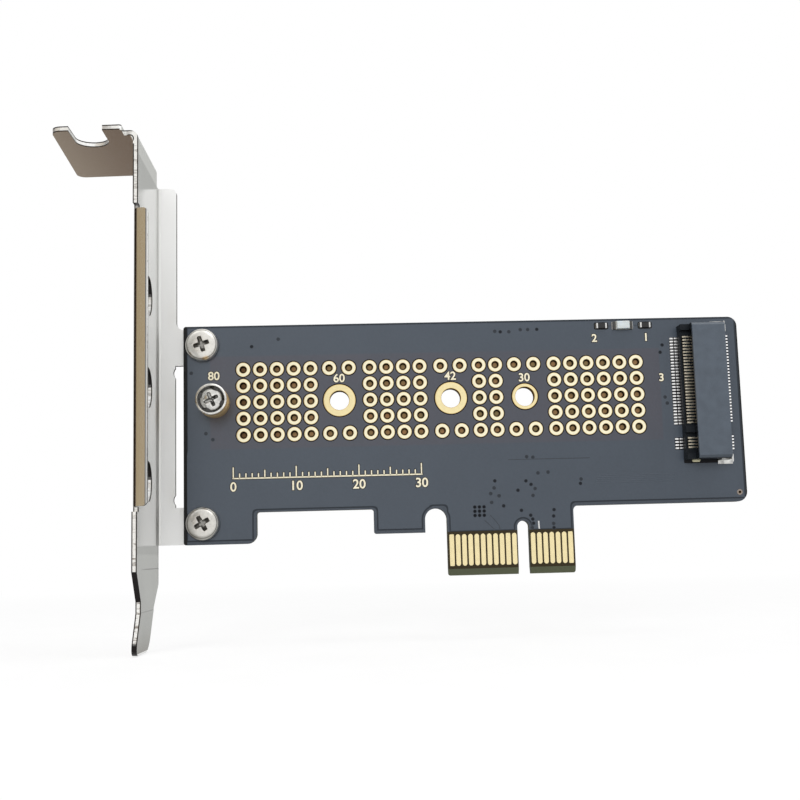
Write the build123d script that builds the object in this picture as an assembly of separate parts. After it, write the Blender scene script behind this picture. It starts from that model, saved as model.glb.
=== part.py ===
"""Adapter card that carries an M.2 solid-state drive in a x1 expansion slot, with a low-profile bracket.

Millimetres. The card stands as it is fitted: gold edge contacts down, +Z up, +X along the board from the
bracket to the socket, and the component side facing -Y. The origin is on the key notch's centre line, at the
bottom edge of the contact tongue, halfway through the board.
"""
import os

from build123d import *

# Module holes: the distance of each from the fitted module's contact end is the module's length
module_end = 31.1
module_hole_radius = 1.6
open_module_lengths = (60.0, 42.0, 30.0)
open_ring_radii = (2.6, 2.6, 2.1)
fitted_module_length = 80.0
hole_row_height = 28.4

# Board outline, measured from the key notch's centre line and the tongue's bottom edge
board_thickness = 1.6
longest_hole_to_left_edge = 4.95
hole_row_to_top_edge = 12.5
board_left = fitted_module_length - module_end + longest_hole_to_left_edge
board_right = 36.5
board_top = hole_row_height + hole_row_to_top_edge
right_part_bottom = 10.6
recess_top = 10.8
recess_left = 42.35
recess_right = 23.8
left_part_bottom = 5.85
middle_part_bottom = 6.9
tongue_left = 12.15
tongue_right = 8.15
key_notch_width = 1.9
key_notch_top = 8.4
side_notch_width = 3.5
side_notch_top = 10.7
top_corner_radius = 1.5
bottom_corner_radius = 1.6
left_corner_radius = 1.6
sharp_corner_radius = 0.4
middle_corner_radius = 0.6
tongue_corner_radius = 0.35
inner_corner_radius = 0.8
bevel_height = 1.05
bevel_depth = 0.4

# Gold edge contacts
contact_pitch = 1.0
contacts_before_key = 11
contacts_after_key = 7
key_to_contact = 1.5
contact_width = 0.74
contact_bottom = 1.5
contact_top = 6.5
contact_end_chamfer = 0.22
square_contacts = (0, 9, 17)
plating_thickness = 0.05

# Small plated holes: columns of five between the module holes, and pairs above and below each module hole
hole_pitch_x = 2.7
hole_pitch_z = 2.65
hole_rows = 5
hole_radius = 0.58
hole_sides = 8
column_counts = (5, 4, 2)
last_column_count = 6
first_column_past_shortest = 4.9
pair_spread = 3.15

# Standoff, its nut and its screw
standoff_radius = 2.45
standoff_height = 2.7
standoff_edge = 0.15
stud_radius = 1.5
stud_clearance = 0.05
nut_across_flats = 5.5
nut_thickness = 1.8
stud_past_nut = 0.4
cup_height = 2.3
cup_rim = 0.38
cup_groove_depth = 0.9
dome_radius = 1.68
dome_rise = 0.25
small_screw_radius = 1.0
small_screw_length = 2.8
small_screw_clearance = 0.05
small_recess_width = 0.44
small_recess_angle = 25

# Bracket, one folded sheet
sheet = 0.8
bend_inside = 0.5
board_to_plate = 4.35
plate_inner_x = -board_left - board_to_plate
plate_near = 16.7
plate_far_above_flange = 0.5
plate_top = 68.1
flange_top = 64.5
flange_inset = 0.1
flange_bottom = left_part_bottom + flange_inset
flange_reach = 3.0
flange_corner_radius = 1.0
ear_height = 5.9
ear_reach = 10.8
ear_corner_radius = 1.5
ear_fillet = 1.2
window_reach = 2.8
window_relief_radius = 1.2
window_relief_shift = 0.3
lip_width = 2.25
lip_top = 56.0
lip_bottom = 11.5
lip_corner_radius = 0.7
lip_relief = 0.8
lip_lean = 6.0
lip_edge_radius = 0.3
vent_radius = 3.15
vent_spacing = 14.5
vent_middle = 30.1
tab_reach = 12.5
tab_end_slant = 0.9
tab_droop = 1.4
tab_near = 19.2
tab_far = 1.8
tab_neck = 1.3
tab_corner_radius = 1.4
screw_notch_width = 5.0
screw_notch_depth = 7.1
screw_notch_from_plate = 6.6
near_shoulder_top = 2.0
near_shoulder_bottom = -2.3
far_shoulder_top = -0.1
far_shoulder_bottom = -3.6
tongue_near = 13.4
tongue_far = 2.8
tongue_bend = -4.0
tongue_tip = -10.2
tongue_lean = 7.0
tip_radius = 2.2
burr_radius = 2.3
burr_height = 1.0

# Bracket screws
bracket_screw_inset = 3.05
upper_screw_inset = 3.15
lower_screw_inset = 3.35
bracket_screw_x = -board_left + bracket_screw_inset
bracket_screw_heights = (board_top - upper_screw_inset, left_part_bottom + lower_screw_inset)
bracket_screw_angles = (17, 30)
bracket_screw_radius = 1.5
bracket_screw_length = 5.0
board_screw_clearance = 0.1
bracket_thread_clearance = 0.05
head_radius = 2.65
head_height = 1.9
head_bevel = 0.55
recess_width = 0.55
recess_span = 2.9
recess_depth = 1.1

# Socket
socket_front = 26.5
cover_front = 27.9
socket_rear = 33.2
socket_length = 21.9
socket_height = 4.2
socket_foot = 0.25
lip_height = 1.4
slot_top = 3.5
slot_rear = 31.5
slot_length = 20.0
cheek_height = 2.3
cover_bevel = 0.45
key_rib_width = 1.1
key_rib_offset = 6.125
socket_pitch = 0.5
socket_contact_width = 0.24
socket_contact_thickness = 0.15
long_row_count = 29
lower_short_row_count = 4
upper_short_row_count = 5
key_gap_count = 5
lower_row_start = 9.0
upper_row_start = 9.25
lower_riser_x = 26.85
riser_width = 0.3
channel_clearance = 0.05
lower_contact_length = 2.45
lower_tail_length = 1.6
upper_contact_length = 2.5
upper_tail_length = 3.0
tail_thickness = 0.2
peg_radius = 0.55
peg_clearance = 0.05
peg_length = 1.2
peg_x = 28.5
peg_offset = 9.9
hold_down_sheet = 0.2
hold_down_front = 32.0
hold_down_rear = 34.4
hold_down_foot = 0.75
hold_down_end_height = 2.2
hold_down_wrap = 1.45
hold_down_rear_height = 3.6

# Small parts on the component side
top_parts_inset = 1.15
top_parts_height = board_top - top_parts_inset
lamp_x = 17.6
lamp_size = (3.2, 1.35, 1.0)
lamp_base = 0.4
lamp_lens_length = 2.0
resistor_positions = (14.1, 21.3)
resistor_size = (1.7, 0.85, 0.45)
cap_length = 0.35
cap_proud = 0.03

# Small parts on the back: the 3.3 V supply, round the regulator whose heat vias show in front
regulator_place = (-7.0, 10.0)
regulator_size = 3.0
regulator_height = 0.85
regulator_edge = 0.1
inductor_place = (-12.9, 15.2)
inductor_size = 4.0
inductor_height = 2.0
inductor_corner = 0.7
capacitor_size = (3.2, 1.6, 1.5)
capacitor_cap = 0.5
capacitor_places = {"input_capacitor": (-6.2, 14.4), "output_capacitor_1": (-19.2, 14.2),
                    "output_capacitor_2": (-19.2, 16.9)}
divider_size = (1.0, 0.5, 0.35)
divider_cap = 0.22
divider_places = ((-3.6, 11.1), (-3.6, 9.9))

front = -board_thickness / 2
back = board_thickness / 2


def above(height):
    """Y of a point that stands this far off the component side."""
    return front - height


def slab(drawing, y_back, y_front):
    """Give a drawing in X and Z its thickness, from y_back towards the viewer at y_front."""
    return extrude(Plane.XZ.offset(-y_back) * drawing, amount=y_back - y_front)


def block(x0, x1, y0, y1, z0, z1):
    """Box between two corners, given in any order."""
    middle = Location(((x0 + x1) / 2, (y0 + y1) / 2, (z0 + z1) / 2))
    return middle * Box(abs(x1 - x0), abs(y1 - y0), abs(z1 - z0))


def outline(corners):
    """Closed drawing from corners that each give two coordinates and a radius."""
    drawing = make_face(Polyline([(u, v) for u, v, radius in corners], close=True))
    for u, v, radius in corners:
        if radius:
            drawing = fillet(drawing.vertices().sort_by_distance((u, v, 0))[0], radius)
    return drawing


def rod(x, z, radius, y_back, y_front):
    """Round bar along Y."""
    return slab(Pos(x, z) * Circle(radius), y_back, y_front)


def contact_places():
    """X of each edge contact, counted from the bracket's side."""
    before = [-key_to_contact - contact_pitch * i for i in range(contacts_before_key)]
    after = [key_to_contact + contact_pitch * i for i in range(contacts_after_key)]
    return before[::-1] + after


def module_hole_x(length):
    """X of the hole that holds a module of this length."""
    return module_end - length


def small_hole_columns():
    """X of every full column of small holes."""
    holes = [module_hole_x(length) for length in (fitted_module_length, *open_module_lengths)]
    first = holes[-1] + first_column_past_shortest
    columns = [first + hole_pitch_x * i for i in range(last_column_count)]
    for left, right, count in zip(holes, holes[1:], column_counts):
        columns += [(left + right) / 2 + hole_pitch_x * (i - (count - 1) / 2) for i in range(count)]
    return columns


def small_hole_places():
    """X and Z of every small plated hole."""
    half_rows = (hole_rows - 1) / 2
    heights = [hole_row_height + hole_pitch_z * (row - half_rows) for row in range(hole_rows)]
    places = [(x, z) for x in small_hole_columns() for z in heights]
    for length in open_module_lengths:
        for side in (-1, 1):
            x = module_hole_x(length) + side * pair_spread / 2
            places += [(x, heights[0]), (x, heights[-1])]
    return places


def socket_places(start, short_row):
    """Z of each contact in one row of the socket, from the top down, with the key's gap."""
    long_part = [start - socket_pitch * i for i in range(long_row_count)]
    next_start = long_part[-1] - socket_pitch * key_gap_count
    short_part = [next_start - socket_pitch * i for i in range(short_row)]
    return [hole_row_height + z for z in long_part], [hole_row_height + z for z in short_part]


def board_outline():
    """Routed edge of the board, without the two notches beside the contacts."""
    notch_left = -tongue_left - side_notch_width
    return outline([
        (-board_left, board_top, sharp_corner_radius),
        (board_right, board_top, top_corner_radius),
        (board_right, right_part_bottom, bottom_corner_radius),
        (tongue_right, right_part_bottom, inner_corner_radius),
        (tongue_right, 0, tongue_corner_radius),
        (-tongue_left, 0, tongue_corner_radius),
        (-tongue_left, middle_part_bottom, 0),
        (notch_left, middle_part_bottom, middle_corner_radius),
        (-recess_right, middle_part_bottom, sharp_corner_radius),
        (-recess_right, recess_top, sharp_corner_radius),
        (-recess_left, recess_top, sharp_corner_radius),
        (-recess_left, left_part_bottom, left_corner_radius),
        (-board_left, left_part_bottom, sharp_corner_radius),
    ])


def round_ended_notch(x, width, top, bottom):
    """Slot open at its lower end, with a round top."""
    radius = width / 2
    return Pos(x, top - radius) * Circle(radius) + Pos(x, (top - radius + bottom) / 2) * Rectangle(
        width, top - radius - bottom)


def board_bevel():
    """The two wedges that the bevel takes off the tongue's bottom edge."""
    wedge = make_face(Polyline((front, 0), (front, bevel_height), (front + bevel_depth, 0), close=True))
    strip = extrude(Plane.YZ.offset(-board_left) * wedge, amount=board_left + board_right)
    return strip + mirror(strip, about=Plane.XZ)


def circuit_board():
    """One laminate with its notches, bevel and drilled holes."""
    drawing = board_outline()
    drawing -= round_ended_notch(0, key_notch_width, key_notch_top, -sheet)
    side_notch_x = -tongue_left - side_notch_width / 2
    drawing -= round_ended_notch(side_notch_x, side_notch_width, side_notch_top, 0)
    small_hole = RegularPolygon(hole_radius, hole_sides, major_radius=False)
    drawing -= [Pos(x, z) * small_hole for x, z in small_hole_places()]
    for length in open_module_lengths + (fitted_module_length,):
        drawing -= Pos(module_hole_x(length), hole_row_height) * Circle(module_hole_radius)
    for z in bracket_screw_heights:
        drawing -= Pos(bracket_screw_x, z) * Circle(bracket_screw_radius + board_screw_clearance)
    for side in (-1, 1):
        place = Pos(peg_x, hole_row_height + side * peg_offset)
        drawing -= place * RegularPolygon(peg_radius + peg_clearance, hole_sides, major_radius=False)
    return slab(drawing, back, front) - board_bevel()


def edge_contacts(y_back, y_front):
    """A row of gold contacts on one face of the tongue."""
    height = contact_top - contact_bottom
    middle = (contact_top + contact_bottom) / 2
    plain = Rectangle(contact_width, height)
    shaped = chamfer(Rectangle(contact_width, height).vertices(), contact_end_chamfer)
    pads = []
    for number, x in enumerate(contact_places()):
        pads.append(slab(Pos(x, middle) * (plain if number in square_contacts else shaped), y_back, y_front))
    return Compound(children=pads)


def module_hole_ring(length, radius):
    """Gold ring round an open module hole."""
    ring = Circle(radius) - Circle(module_hole_radius)
    return slab(Pos(module_hole_x(length), hole_row_height) * ring, front, above(plating_thickness))


def cross_recess(span, width, angle):
    """Drawing of a cross-shaped driver recess."""
    return Rot(0, 0, angle) * (Rectangle(span, width) + Rectangle(width, span))


def turned(profile, x, z):
    """Turned body: its profile gives the radius and the height off the board."""
    body = revolve(make_face(Polyline(profile, close=True)), axis=Axis.Y)
    return Location((x, front, z), (180, 0, 0)) * body


def m2_standoff():
    """Brass standoff: a round body on the board, a stud through it, and a thread for the small screw."""
    thread = small_screw_radius + small_screw_clearance
    stud_end = -(board_thickness + nut_thickness + stud_past_nut)
    body = turned([
        (thread, standoff_height), (standoff_radius - standoff_edge, standoff_height),
        (standoff_radius, standoff_height - standoff_edge), (standoff_radius, 0),
        (stud_radius, 0), (stud_radius, stud_end), (thread, stud_end),
    ], module_hole_x(fitted_module_length), hole_row_height)
    return body


def m2_standoff_nut():
    """Hexagon nut that clamps the standoff from behind."""
    ring = RegularPolygon(nut_across_flats / 2, 6, major_radius=False) - Circle(stud_radius + stud_clearance)
    return slab(Pos(module_hole_x(fitted_module_length), hole_row_height) * ring, back + nut_thickness, back)


def m2_screw():
    """Small screw: a cupped head with a raised rim, a domed middle with a cross recess, and its shank."""
    seat = standoff_height
    top = seat + cup_height
    floor = top - cup_groove_depth
    profile = [
        (0, seat - small_screw_length), (small_screw_radius, seat - small_screw_length),
        (small_screw_radius, seat), (standoff_radius, seat), (standoff_radius, top),
        (standoff_radius - cup_rim, top), (standoff_radius - cup_rim, floor), (dome_radius, floor),
        (dome_radius, top - dome_rise), (0, top),
    ]
    x = module_hole_x(fitted_module_length)
    cut = Pos(x, hole_row_height) * cross_recess(dome_radius, small_recess_width, small_recess_angle)
    return turned(profile, x, hole_row_height) - slab(cut, above(top - cup_groove_depth), above(top))


def folded(corners, inner, outer):
    """Drawing of a folded strip: an L of six corners, whose fold is rounded inside and outside."""
    drawing = make_face(Polyline(corners, close=True))
    drawing = fillet(drawing.vertices().sort_by_distance((*inner, 0))[0], bend_inside)
    return fillet(drawing.vertices().sort_by_distance((*outer, 0))[0], bend_inside + sheet)


def bracket_strip():
    """Side view of the plate, its leaning tongue and its drooping tab, carried across the whole width."""
    outer = plate_inner_x - sheet
    drop = tongue_bend - tongue_tip
    lean = Vector(0, 1).rotate(Axis.Z, -tongue_lean)
    foot_x = plate_inner_x - drop * lean.X / lean.Y
    tab_end = outer - tab_reach
    droop = Vector(1, 0).rotate(Axis.Z, -tab_droop)
    end_top = plate_top + tab_reach * droop.Y / droop.X
    corner_top = plate_top - sheet * droop.Y / droop.X
    profile = make_face(Polyline(
        (foot_x, tongue_tip), (plate_inner_x, tongue_bend), (plate_inner_x, corner_top), (tab_end, end_top),
        (tab_end, end_top - sheet), (outer, plate_top - sheet), (outer, tongue_bend),
        (foot_x - sheet, tongue_tip), close=True))
    inner_corner = profile.vertices().sort_by_distance((outer, plate_top - sheet, 0))[0]
    profile = fillet(inner_corner, bend_inside)
    outer_corner = profile.vertices().sort_by_distance((plate_inner_x, corner_top, 0))[0]
    profile = fillet(outer_corner, bend_inside + sheet)
    return slab(profile, tab_far, -tab_near)


def plate_outline():
    """Face of the plate in Y and Z: reliefs past the lip's ends, shoulders and tongue below."""
    bend = bend_inside + sheet
    flange_face = back + sheet
    neck_height = plate_top + sheet
    return outline([
        (-plate_near, neck_height, 0), (-plate_near, lip_top + lip_relief, 0),
        (-plate_near + bend, lip_top + lip_relief, 0), (-plate_near + bend, lip_bottom - lip_relief, 0),
        (-plate_near, lip_bottom - lip_relief, 0),
        (-plate_near, near_shoulder_top, sharp_corner_radius),
        (-tongue_near, near_shoulder_bottom, sharp_corner_radius),
        (-tongue_near, tongue_tip, tip_radius), (-tongue_far, tongue_tip, tip_radius),
        (-tongue_far, far_shoulder_bottom, sharp_corner_radius),
        (flange_face, far_shoulder_top, sharp_corner_radius), (flange_face, flange_bottom, 0),
        (flange_face - bend, flange_bottom, 0), (flange_face - bend, flange_top, 0),
        (-plate_far_above_flange, flange_top, 0), (-plate_far_above_flange, neck_height, 0),
    ])


def tab_outline():
    """Top view of the tab in X and Y, with the open notch for the chassis screw."""
    outer = plate_inner_x - sheet
    end = outer - tab_reach
    neck = outer - tab_neck
    drawing = outline([
        (end, tab_far, tab_corner_radius), (end + tab_end_slant, -tab_near, tab_corner_radius),
        (neck, -tab_near, sharp_corner_radius), (neck, -plate_near, 0), (outer, -plate_near, 0),
        (outer, -plate_far_above_flange, 0), (neck, -plate_far_above_flange, 0),
        (neck, tab_far, sharp_corner_radius),
    ])
    radius = screw_notch_width / 2
    notch_x = outer - screw_notch_from_plate
    notch_y = -tab_near + screw_notch_depth - radius
    drawing -= Pos(notch_x, notch_y) * Circle(radius)
    return drawing - Pos(notch_x, notch_y - tab_near / 2) * Rectangle(screw_notch_width, tab_near)


def bracket_plate():
    """Plate, tongue and tab, cut to their outlines."""
    outer = plate_inner_x - sheet
    strip = bracket_strip()
    reach = 2 * sheet
    lean_room = tab_reach
    plate = extrude(Plane.YZ.offset(outer - lean_room) * plate_outline(), amount=lean_room + sheet + reach)
    tab = extrude(Plane.XY.offset(plate_top - reach) * tab_outline(), amount=2 * reach)
    tab_zone = block(outer - tab_reach, outer, tab_far, -tab_near, plate_top - reach, plate_top + reach)
    return (strip & plate) - tab_zone + (strip & tab)


def bracket_flange():
    """Flange behind the board, with two ears for the screws and a window between them."""
    outer = plate_inner_x - sheet
    face = back + sheet
    bend = bend_inside + sheet
    end = plate_inner_x + ear_reach
    section = folded([
        (outer, face - bend), (outer, face), (end, face), (end, back), (plate_inner_x, back),
        (plate_inner_x, face - bend)], (plate_inner_x, back), (outer, face))
    leaf = extrude(Plane.XY.offset(flange_bottom) * section, amount=flange_top - flange_bottom)
    upper_ear_top = bracket_screw_heights[0] + ear_height / 2
    upper_ear_bottom = upper_ear_top - ear_height
    lower_ear_top = flange_bottom + ear_height
    narrow = plate_inner_x + flange_reach
    window = plate_inner_x + window_reach
    drawing = outline([
        (outer, flange_top, 0), (narrow, flange_top, flange_corner_radius),
        (narrow, upper_ear_top, ear_fillet),
        (end, upper_ear_top, ear_corner_radius), (end, upper_ear_bottom, ear_corner_radius),
        (window, upper_ear_bottom, 0), (window, lower_ear_top, 0), (end, lower_ear_top, ear_corner_radius),
        (end, flange_bottom, ear_corner_radius), (outer, flange_bottom, 0),
    ])
    for z, side in ((upper_ear_bottom, -1), (lower_ear_top, 1)):
        relief_x = window - window_relief_shift + window_relief_radius
        drawing -= Pos(relief_x, z + side * window_relief_radius) * Circle(window_relief_radius)
    leaf &= slab(drawing, face + bend, -face - bend)
    thread = bracket_screw_radius + bracket_thread_clearance
    for z in bracket_screw_heights:
        leaf += rod(bracket_screw_x, z, burr_radius, face + burr_height, face)
        leaf -= rod(bracket_screw_x, z, thread, face + burr_height, back)
    return leaf


def bracket_lip():
    """Stiffening lip along the plate's near edge: it leans a little, and its free edge is rounded."""
    outer = plate_inner_x - sheet
    bend = bend_inside + sheet
    end = outer + lip_width
    lean = Vector(1, 0).rotate(Axis.Z, -lip_lean)
    free_edge = -plate_near + lip_width * lean.Y / lean.X
    inner_corner = -plate_near + sheet * (1 + lean.Y / lean.X)
    section = folded([
        (outer, -plate_near + bend), (outer, -plate_near), (end, free_edge), (end, free_edge + sheet),
        (plate_inner_x, inner_corner), (plate_inner_x, -plate_near + bend)],
        (plate_inner_x, inner_corner), (outer, -plate_near))
    section = fillet(section.vertices().sort_by_distance((end, free_edge, 0))[0], lip_edge_radius)
    leaf = extrude(Plane.XY.offset(lip_bottom) * section, amount=lip_top - lip_bottom)
    drawing = outline([
        (outer, lip_top, 0), (end, lip_top, lip_corner_radius), (end, lip_bottom, lip_corner_radius),
        (outer, lip_bottom, 0)])
    return leaf & slab(drawing, 0, -plate_near - sheet)


def bracket():
    """One folded sheet: plate, tab, flange and lip, with three round vents through the plate."""
    body = bracket_plate() + bracket_flange() + bracket_lip()
    vent_y = (back + sheet - plate_near) / 2
    plate_face = Plane.YZ.offset(plate_inner_x - sheet)
    for i in (-1, 0, 1):
        vent = Pos(vent_y, vent_middle + vent_spacing * i) * Circle(vent_radius)
        body -= extrude(plate_face * vent, amount=sheet)
    return body


def bracket_screw(z, angle):
    """Pan-head screw through the board into the bracket's ear."""
    head = rod(bracket_screw_x, z, head_radius, front, above(head_height))
    head = chamfer(head.edges().filter_by(GeomType.CIRCLE).sort_by(Axis.Y)[0], head_bevel)
    shank = rod(bracket_screw_x, z, bracket_screw_radius, front + bracket_screw_length, front)
    cut = Pos(bracket_screw_x, z) * cross_recess(recess_span, recess_width, angle)
    return head + shank - slab(cut, above(head_height - recess_depth), above(head_height))


def along_slot(corners, z0, z1):
    """Moulded stretch between two heights: its section gives X and the height off the board."""
    section = make_face(Polyline([(x, above(height)) for x, height in corners], close=True))
    return extrude(Plane.XY.offset(z0) * section, amount=z1 - z0)


def socket_end(slot_end, outside):
    """Solid end of the housing, stepped down in front to a cheek that guides the module."""
    cheek = [(socket_front, 0), (socket_rear, 0), (socket_rear, socket_height), (cover_front, socket_height),
             (cover_front, cheek_height), (socket_front, cheek_height)]
    end = along_slot(cheek, min(slot_end, outside), max(slot_end, outside))
    top = end.edges().filter_by(Axis.X).sort_by_distance((socket_rear, above(socket_height), outside))[0]
    return chamfer(top, cover_bevel)


def contact_channels(x, rows, height):
    """Channels in the housing for the upright parts of one row of contacts."""
    half = socket_contact_width / 2 + channel_clearance
    near, far = x - channel_clearance, x + riser_width + channel_clearance
    corners = [(near, 0), (far, 0), (far, height), (near, height)]
    return [along_slot(corners, row[-1] - half, row[0] + half) for row in rows]


def socket_housing():
    """Moulded housing: a lip and a roof with the module's slot between them, two ends, a key rib and pegs."""
    slot_low = hole_row_height - slot_length / 2
    slot_high = hole_row_height + slot_length / 2
    mouth = [(socket_front, socket_foot), (socket_rear, socket_foot), (socket_rear, socket_height),
             (cover_front, socket_height), (cover_front, slot_top), (slot_rear, slot_top),
             (slot_rear, lip_height), (socket_front, lip_height)]
    body = along_slot(mouth, slot_low, slot_high)
    body += socket_end(slot_low, hole_row_height - socket_length / 2)
    body += socket_end(slot_high, hole_row_height + socket_length / 2)
    rib = [(socket_front, lip_height), (slot_rear, lip_height), (slot_rear, slot_top),
           (cover_front, slot_top), (cover_front, cheek_height), (socket_front, cheek_height)]
    rib_z = hole_row_height - key_rib_offset
    body += along_slot(rib, rib_z - key_rib_width / 2, rib_z + key_rib_width / 2)
    body -= contact_channels(lower_riser_x, socket_places(lower_row_start, lower_short_row_count), lip_height)
    body -= contact_channels(slot_rear, socket_places(upper_row_start, upper_short_row_count), slot_top)
    for side in (-1, 1):
        body += rod(peg_x, hole_row_height + side * peg_offset, peg_radius, front + peg_length, front)
    return body


def socket_contacts(rows, tail_end, riser_near, riser_far, reach, bar_height):
    """One row of bent contacts: a tail on the board, an upright through the housing, a bar in the slot."""
    thick = socket_contact_thickness
    side = Polyline(
        (tail_end, above(0)), (riser_far, above(0)), (riser_far, above(bar_height)),
        (reach, above(bar_height)),
        (reach, above(bar_height + thick)), (riser_near, above(bar_height + thick)),
        (riser_near, above(tail_thickness)), (tail_end, above(tail_thickness)), close=True)
    strip = make_face(side)
    bars = [extrude(Plane.XY.offset(z - socket_contact_width / 2) * strip, amount=socket_contact_width)
            for row in rows for z in row]
    return Compound(children=bars)


def socket_lower_contacts():
    """Contacts that lie on the lower lip, with their tails in front of the housing."""
    rows = socket_places(lower_row_start, lower_short_row_count)
    riser_far = lower_riser_x + riser_width
    return socket_contacts(rows, lower_riser_x - lower_tail_length, lower_riser_x, riser_far,
                           riser_far + lower_contact_length, lip_height)


def socket_upper_contacts():
    """Contacts under the roof, with their tails behind the housing."""
    rows = socket_places(upper_row_start, upper_short_row_count)
    height = slot_top - socket_contact_thickness - channel_clearance
    riser_near = slot_rear + riser_width
    return socket_contacts(rows, riser_near + upper_tail_length, riser_near, slot_rear,
                           slot_rear - upper_contact_length, height)


def socket_hold_down(side):
    """Soldered metal tab that wraps one rear corner of the housing."""
    end = hole_row_height + side * socket_length / 2
    outside = end + side * hold_down_sheet
    foot = end + side * hold_down_foot
    rear = socket_rear + hold_down_sheet
    tab = block(hold_down_front, rear, above(0), above(hold_down_end_height), end, outside)
    tab += block(hold_down_front, hold_down_rear, above(0), above(hold_down_sheet), end, foot)
    return tab + block(socket_rear, rear, above(0), above(hold_down_rear_height), end - side * hold_down_wrap,
                       outside)


def chip(x, z, size, cap, face, outwards):
    """Chip part lying along X: a body between two slightly larger metal caps."""
    length, width, height = size
    body = block(x - length / 2 + cap, x + length / 2 - cap, face, face + outwards * (height - cap_proud),
                 z - width / 2 + cap_proud, z + width / 2 - cap_proud)
    for side in (-1, 1):
        end = x + side * length / 2
        body += block(end, end - side * cap, face, face + outwards * height, z - width / 2, z + width / 2)
    return body


def status_lamp():
    """Surface-mount lamp: a base strip with a raised clear lens."""
    length, width, height = lamp_size
    place = Pos(lamp_x, top_parts_height)
    base = slab(place * Rectangle(length, width), front, above(lamp_base))
    return base + slab(place * Rectangle(lamp_lens_length, width), above(lamp_base), above(height))


def voltage_regulator():
    """Flat square package, chamfered round its top."""
    drawing = Pos(*regulator_place) * Rectangle(regulator_size, regulator_size)
    package = slab(drawing, back + regulator_height, back)
    return chamfer(package.faces().sort_by(Axis.Y)[-1].edges(), regulator_edge)


def power_inductor():
    """Square moulded inductor with rounded corners."""
    drawing = Pos(*inductor_place) * RectangleRounded(inductor_size, inductor_size, inductor_corner)
    return slab(drawing, back + inductor_height, back)


def build():
    """Every node of the card, by name."""
    nodes = {
        "circuit_board": circuit_board(),
        "edge_contacts_front": edge_contacts(front, above(plating_thickness)),
        "edge_contacts_back": edge_contacts(back + plating_thickness, back),
        "m2_standoff": m2_standoff(),
        "m2_standoff_nut": m2_standoff_nut(),
        "m2_screw": m2_screw(),
        "bracket": bracket(),
        "bracket_screw_upper": bracket_screw(bracket_screw_heights[0], bracket_screw_angles[0]),
        "bracket_screw_lower": bracket_screw(bracket_screw_heights[1], bracket_screw_angles[1]),
        "socket_housing": socket_housing(),
        "socket_lower_contacts": socket_lower_contacts(),
        "socket_upper_contacts": socket_upper_contacts(),
        "socket_hold_down_upper": socket_hold_down(1),
        "socket_hold_down_lower": socket_hold_down(-1),
        "status_lamp": status_lamp(),
        "voltage_regulator": voltage_regulator(),
        "power_inductor": power_inductor(),
    }
    for length, radius in zip(open_module_lengths, open_ring_radii):
        nodes[f"module_hole_ring_{length:.0f}"] = module_hole_ring(length, radius)
    for number, x in enumerate(resistor_positions, 1):
        nodes[f"lamp_resistor_{number}"] = chip(x, top_parts_height, resistor_size, cap_length, front, -1)
    for name, (x, z) in capacitor_places.items():
        nodes[name] = chip(x, z, capacitor_size, capacitor_cap, back, 1)
    for number, (x, z) in enumerate(divider_places, 1):
        nodes[f"divider_resistor_{number}"] = chip(x, z, divider_size, divider_cap, back, 1)
    return nodes


os.makedirs("parts", exist_ok=True)
for name, shape in build().items():
    export_step(shape, f"parts/{name}.step")
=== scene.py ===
"""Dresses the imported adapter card: finishes, plated holes, contacts, screws, solder, print and the stage."""

import math

import bmesh
import bpy
import numpy as np
from bpy.props import FloatProperty, FloatVectorProperty, IntProperty, PointerProperty
from mathutils import Matrix, Vector


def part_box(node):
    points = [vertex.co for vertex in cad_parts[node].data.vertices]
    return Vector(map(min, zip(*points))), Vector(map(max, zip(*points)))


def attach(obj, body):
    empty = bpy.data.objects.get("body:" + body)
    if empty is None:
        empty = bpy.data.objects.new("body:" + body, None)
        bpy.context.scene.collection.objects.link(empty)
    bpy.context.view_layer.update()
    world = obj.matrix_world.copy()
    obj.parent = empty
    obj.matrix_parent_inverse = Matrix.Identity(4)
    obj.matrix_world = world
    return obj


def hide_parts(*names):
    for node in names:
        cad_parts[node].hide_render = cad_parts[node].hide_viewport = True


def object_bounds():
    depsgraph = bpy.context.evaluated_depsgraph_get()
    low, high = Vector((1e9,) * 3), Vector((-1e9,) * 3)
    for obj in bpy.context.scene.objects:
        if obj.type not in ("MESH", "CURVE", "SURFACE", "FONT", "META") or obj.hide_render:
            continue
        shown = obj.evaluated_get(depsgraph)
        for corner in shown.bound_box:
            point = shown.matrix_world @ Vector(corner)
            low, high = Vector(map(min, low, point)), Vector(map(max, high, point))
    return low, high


bl_info = {
    "name": "Adapter card dressing",
    "version": (1, 0, 0),
    "blender": (4, 5, 0),
    "location": "View3D > Sidebar > Adapter card",
    "description": "Plated holes, contacts, screws, solder, print and finishes of an M.2 adapter card",
    "category": "Object",
}

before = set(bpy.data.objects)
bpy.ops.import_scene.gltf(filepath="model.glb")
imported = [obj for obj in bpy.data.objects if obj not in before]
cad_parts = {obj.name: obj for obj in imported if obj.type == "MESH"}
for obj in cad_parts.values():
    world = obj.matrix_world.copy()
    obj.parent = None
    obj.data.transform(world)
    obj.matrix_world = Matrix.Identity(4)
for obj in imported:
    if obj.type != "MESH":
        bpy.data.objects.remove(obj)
CAD_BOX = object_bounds()
MM = 0.001
MASK, GOLD, NICKEL, TIN = "solder_mask_board", "gold_contacts", "nickel_hardware", "tinned_tabs"


def corners(node):
    """Lowest and highest corner of a solid, in millimetres."""
    low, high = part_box(node)
    return np.array(low) / MM, np.array(high) / MM


def middle(node):
    """Middle of a solid's box, in millimetres."""
    low, high = corners(node)
    return (low + high) / 2


# Places on the card, in millimetres

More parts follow.
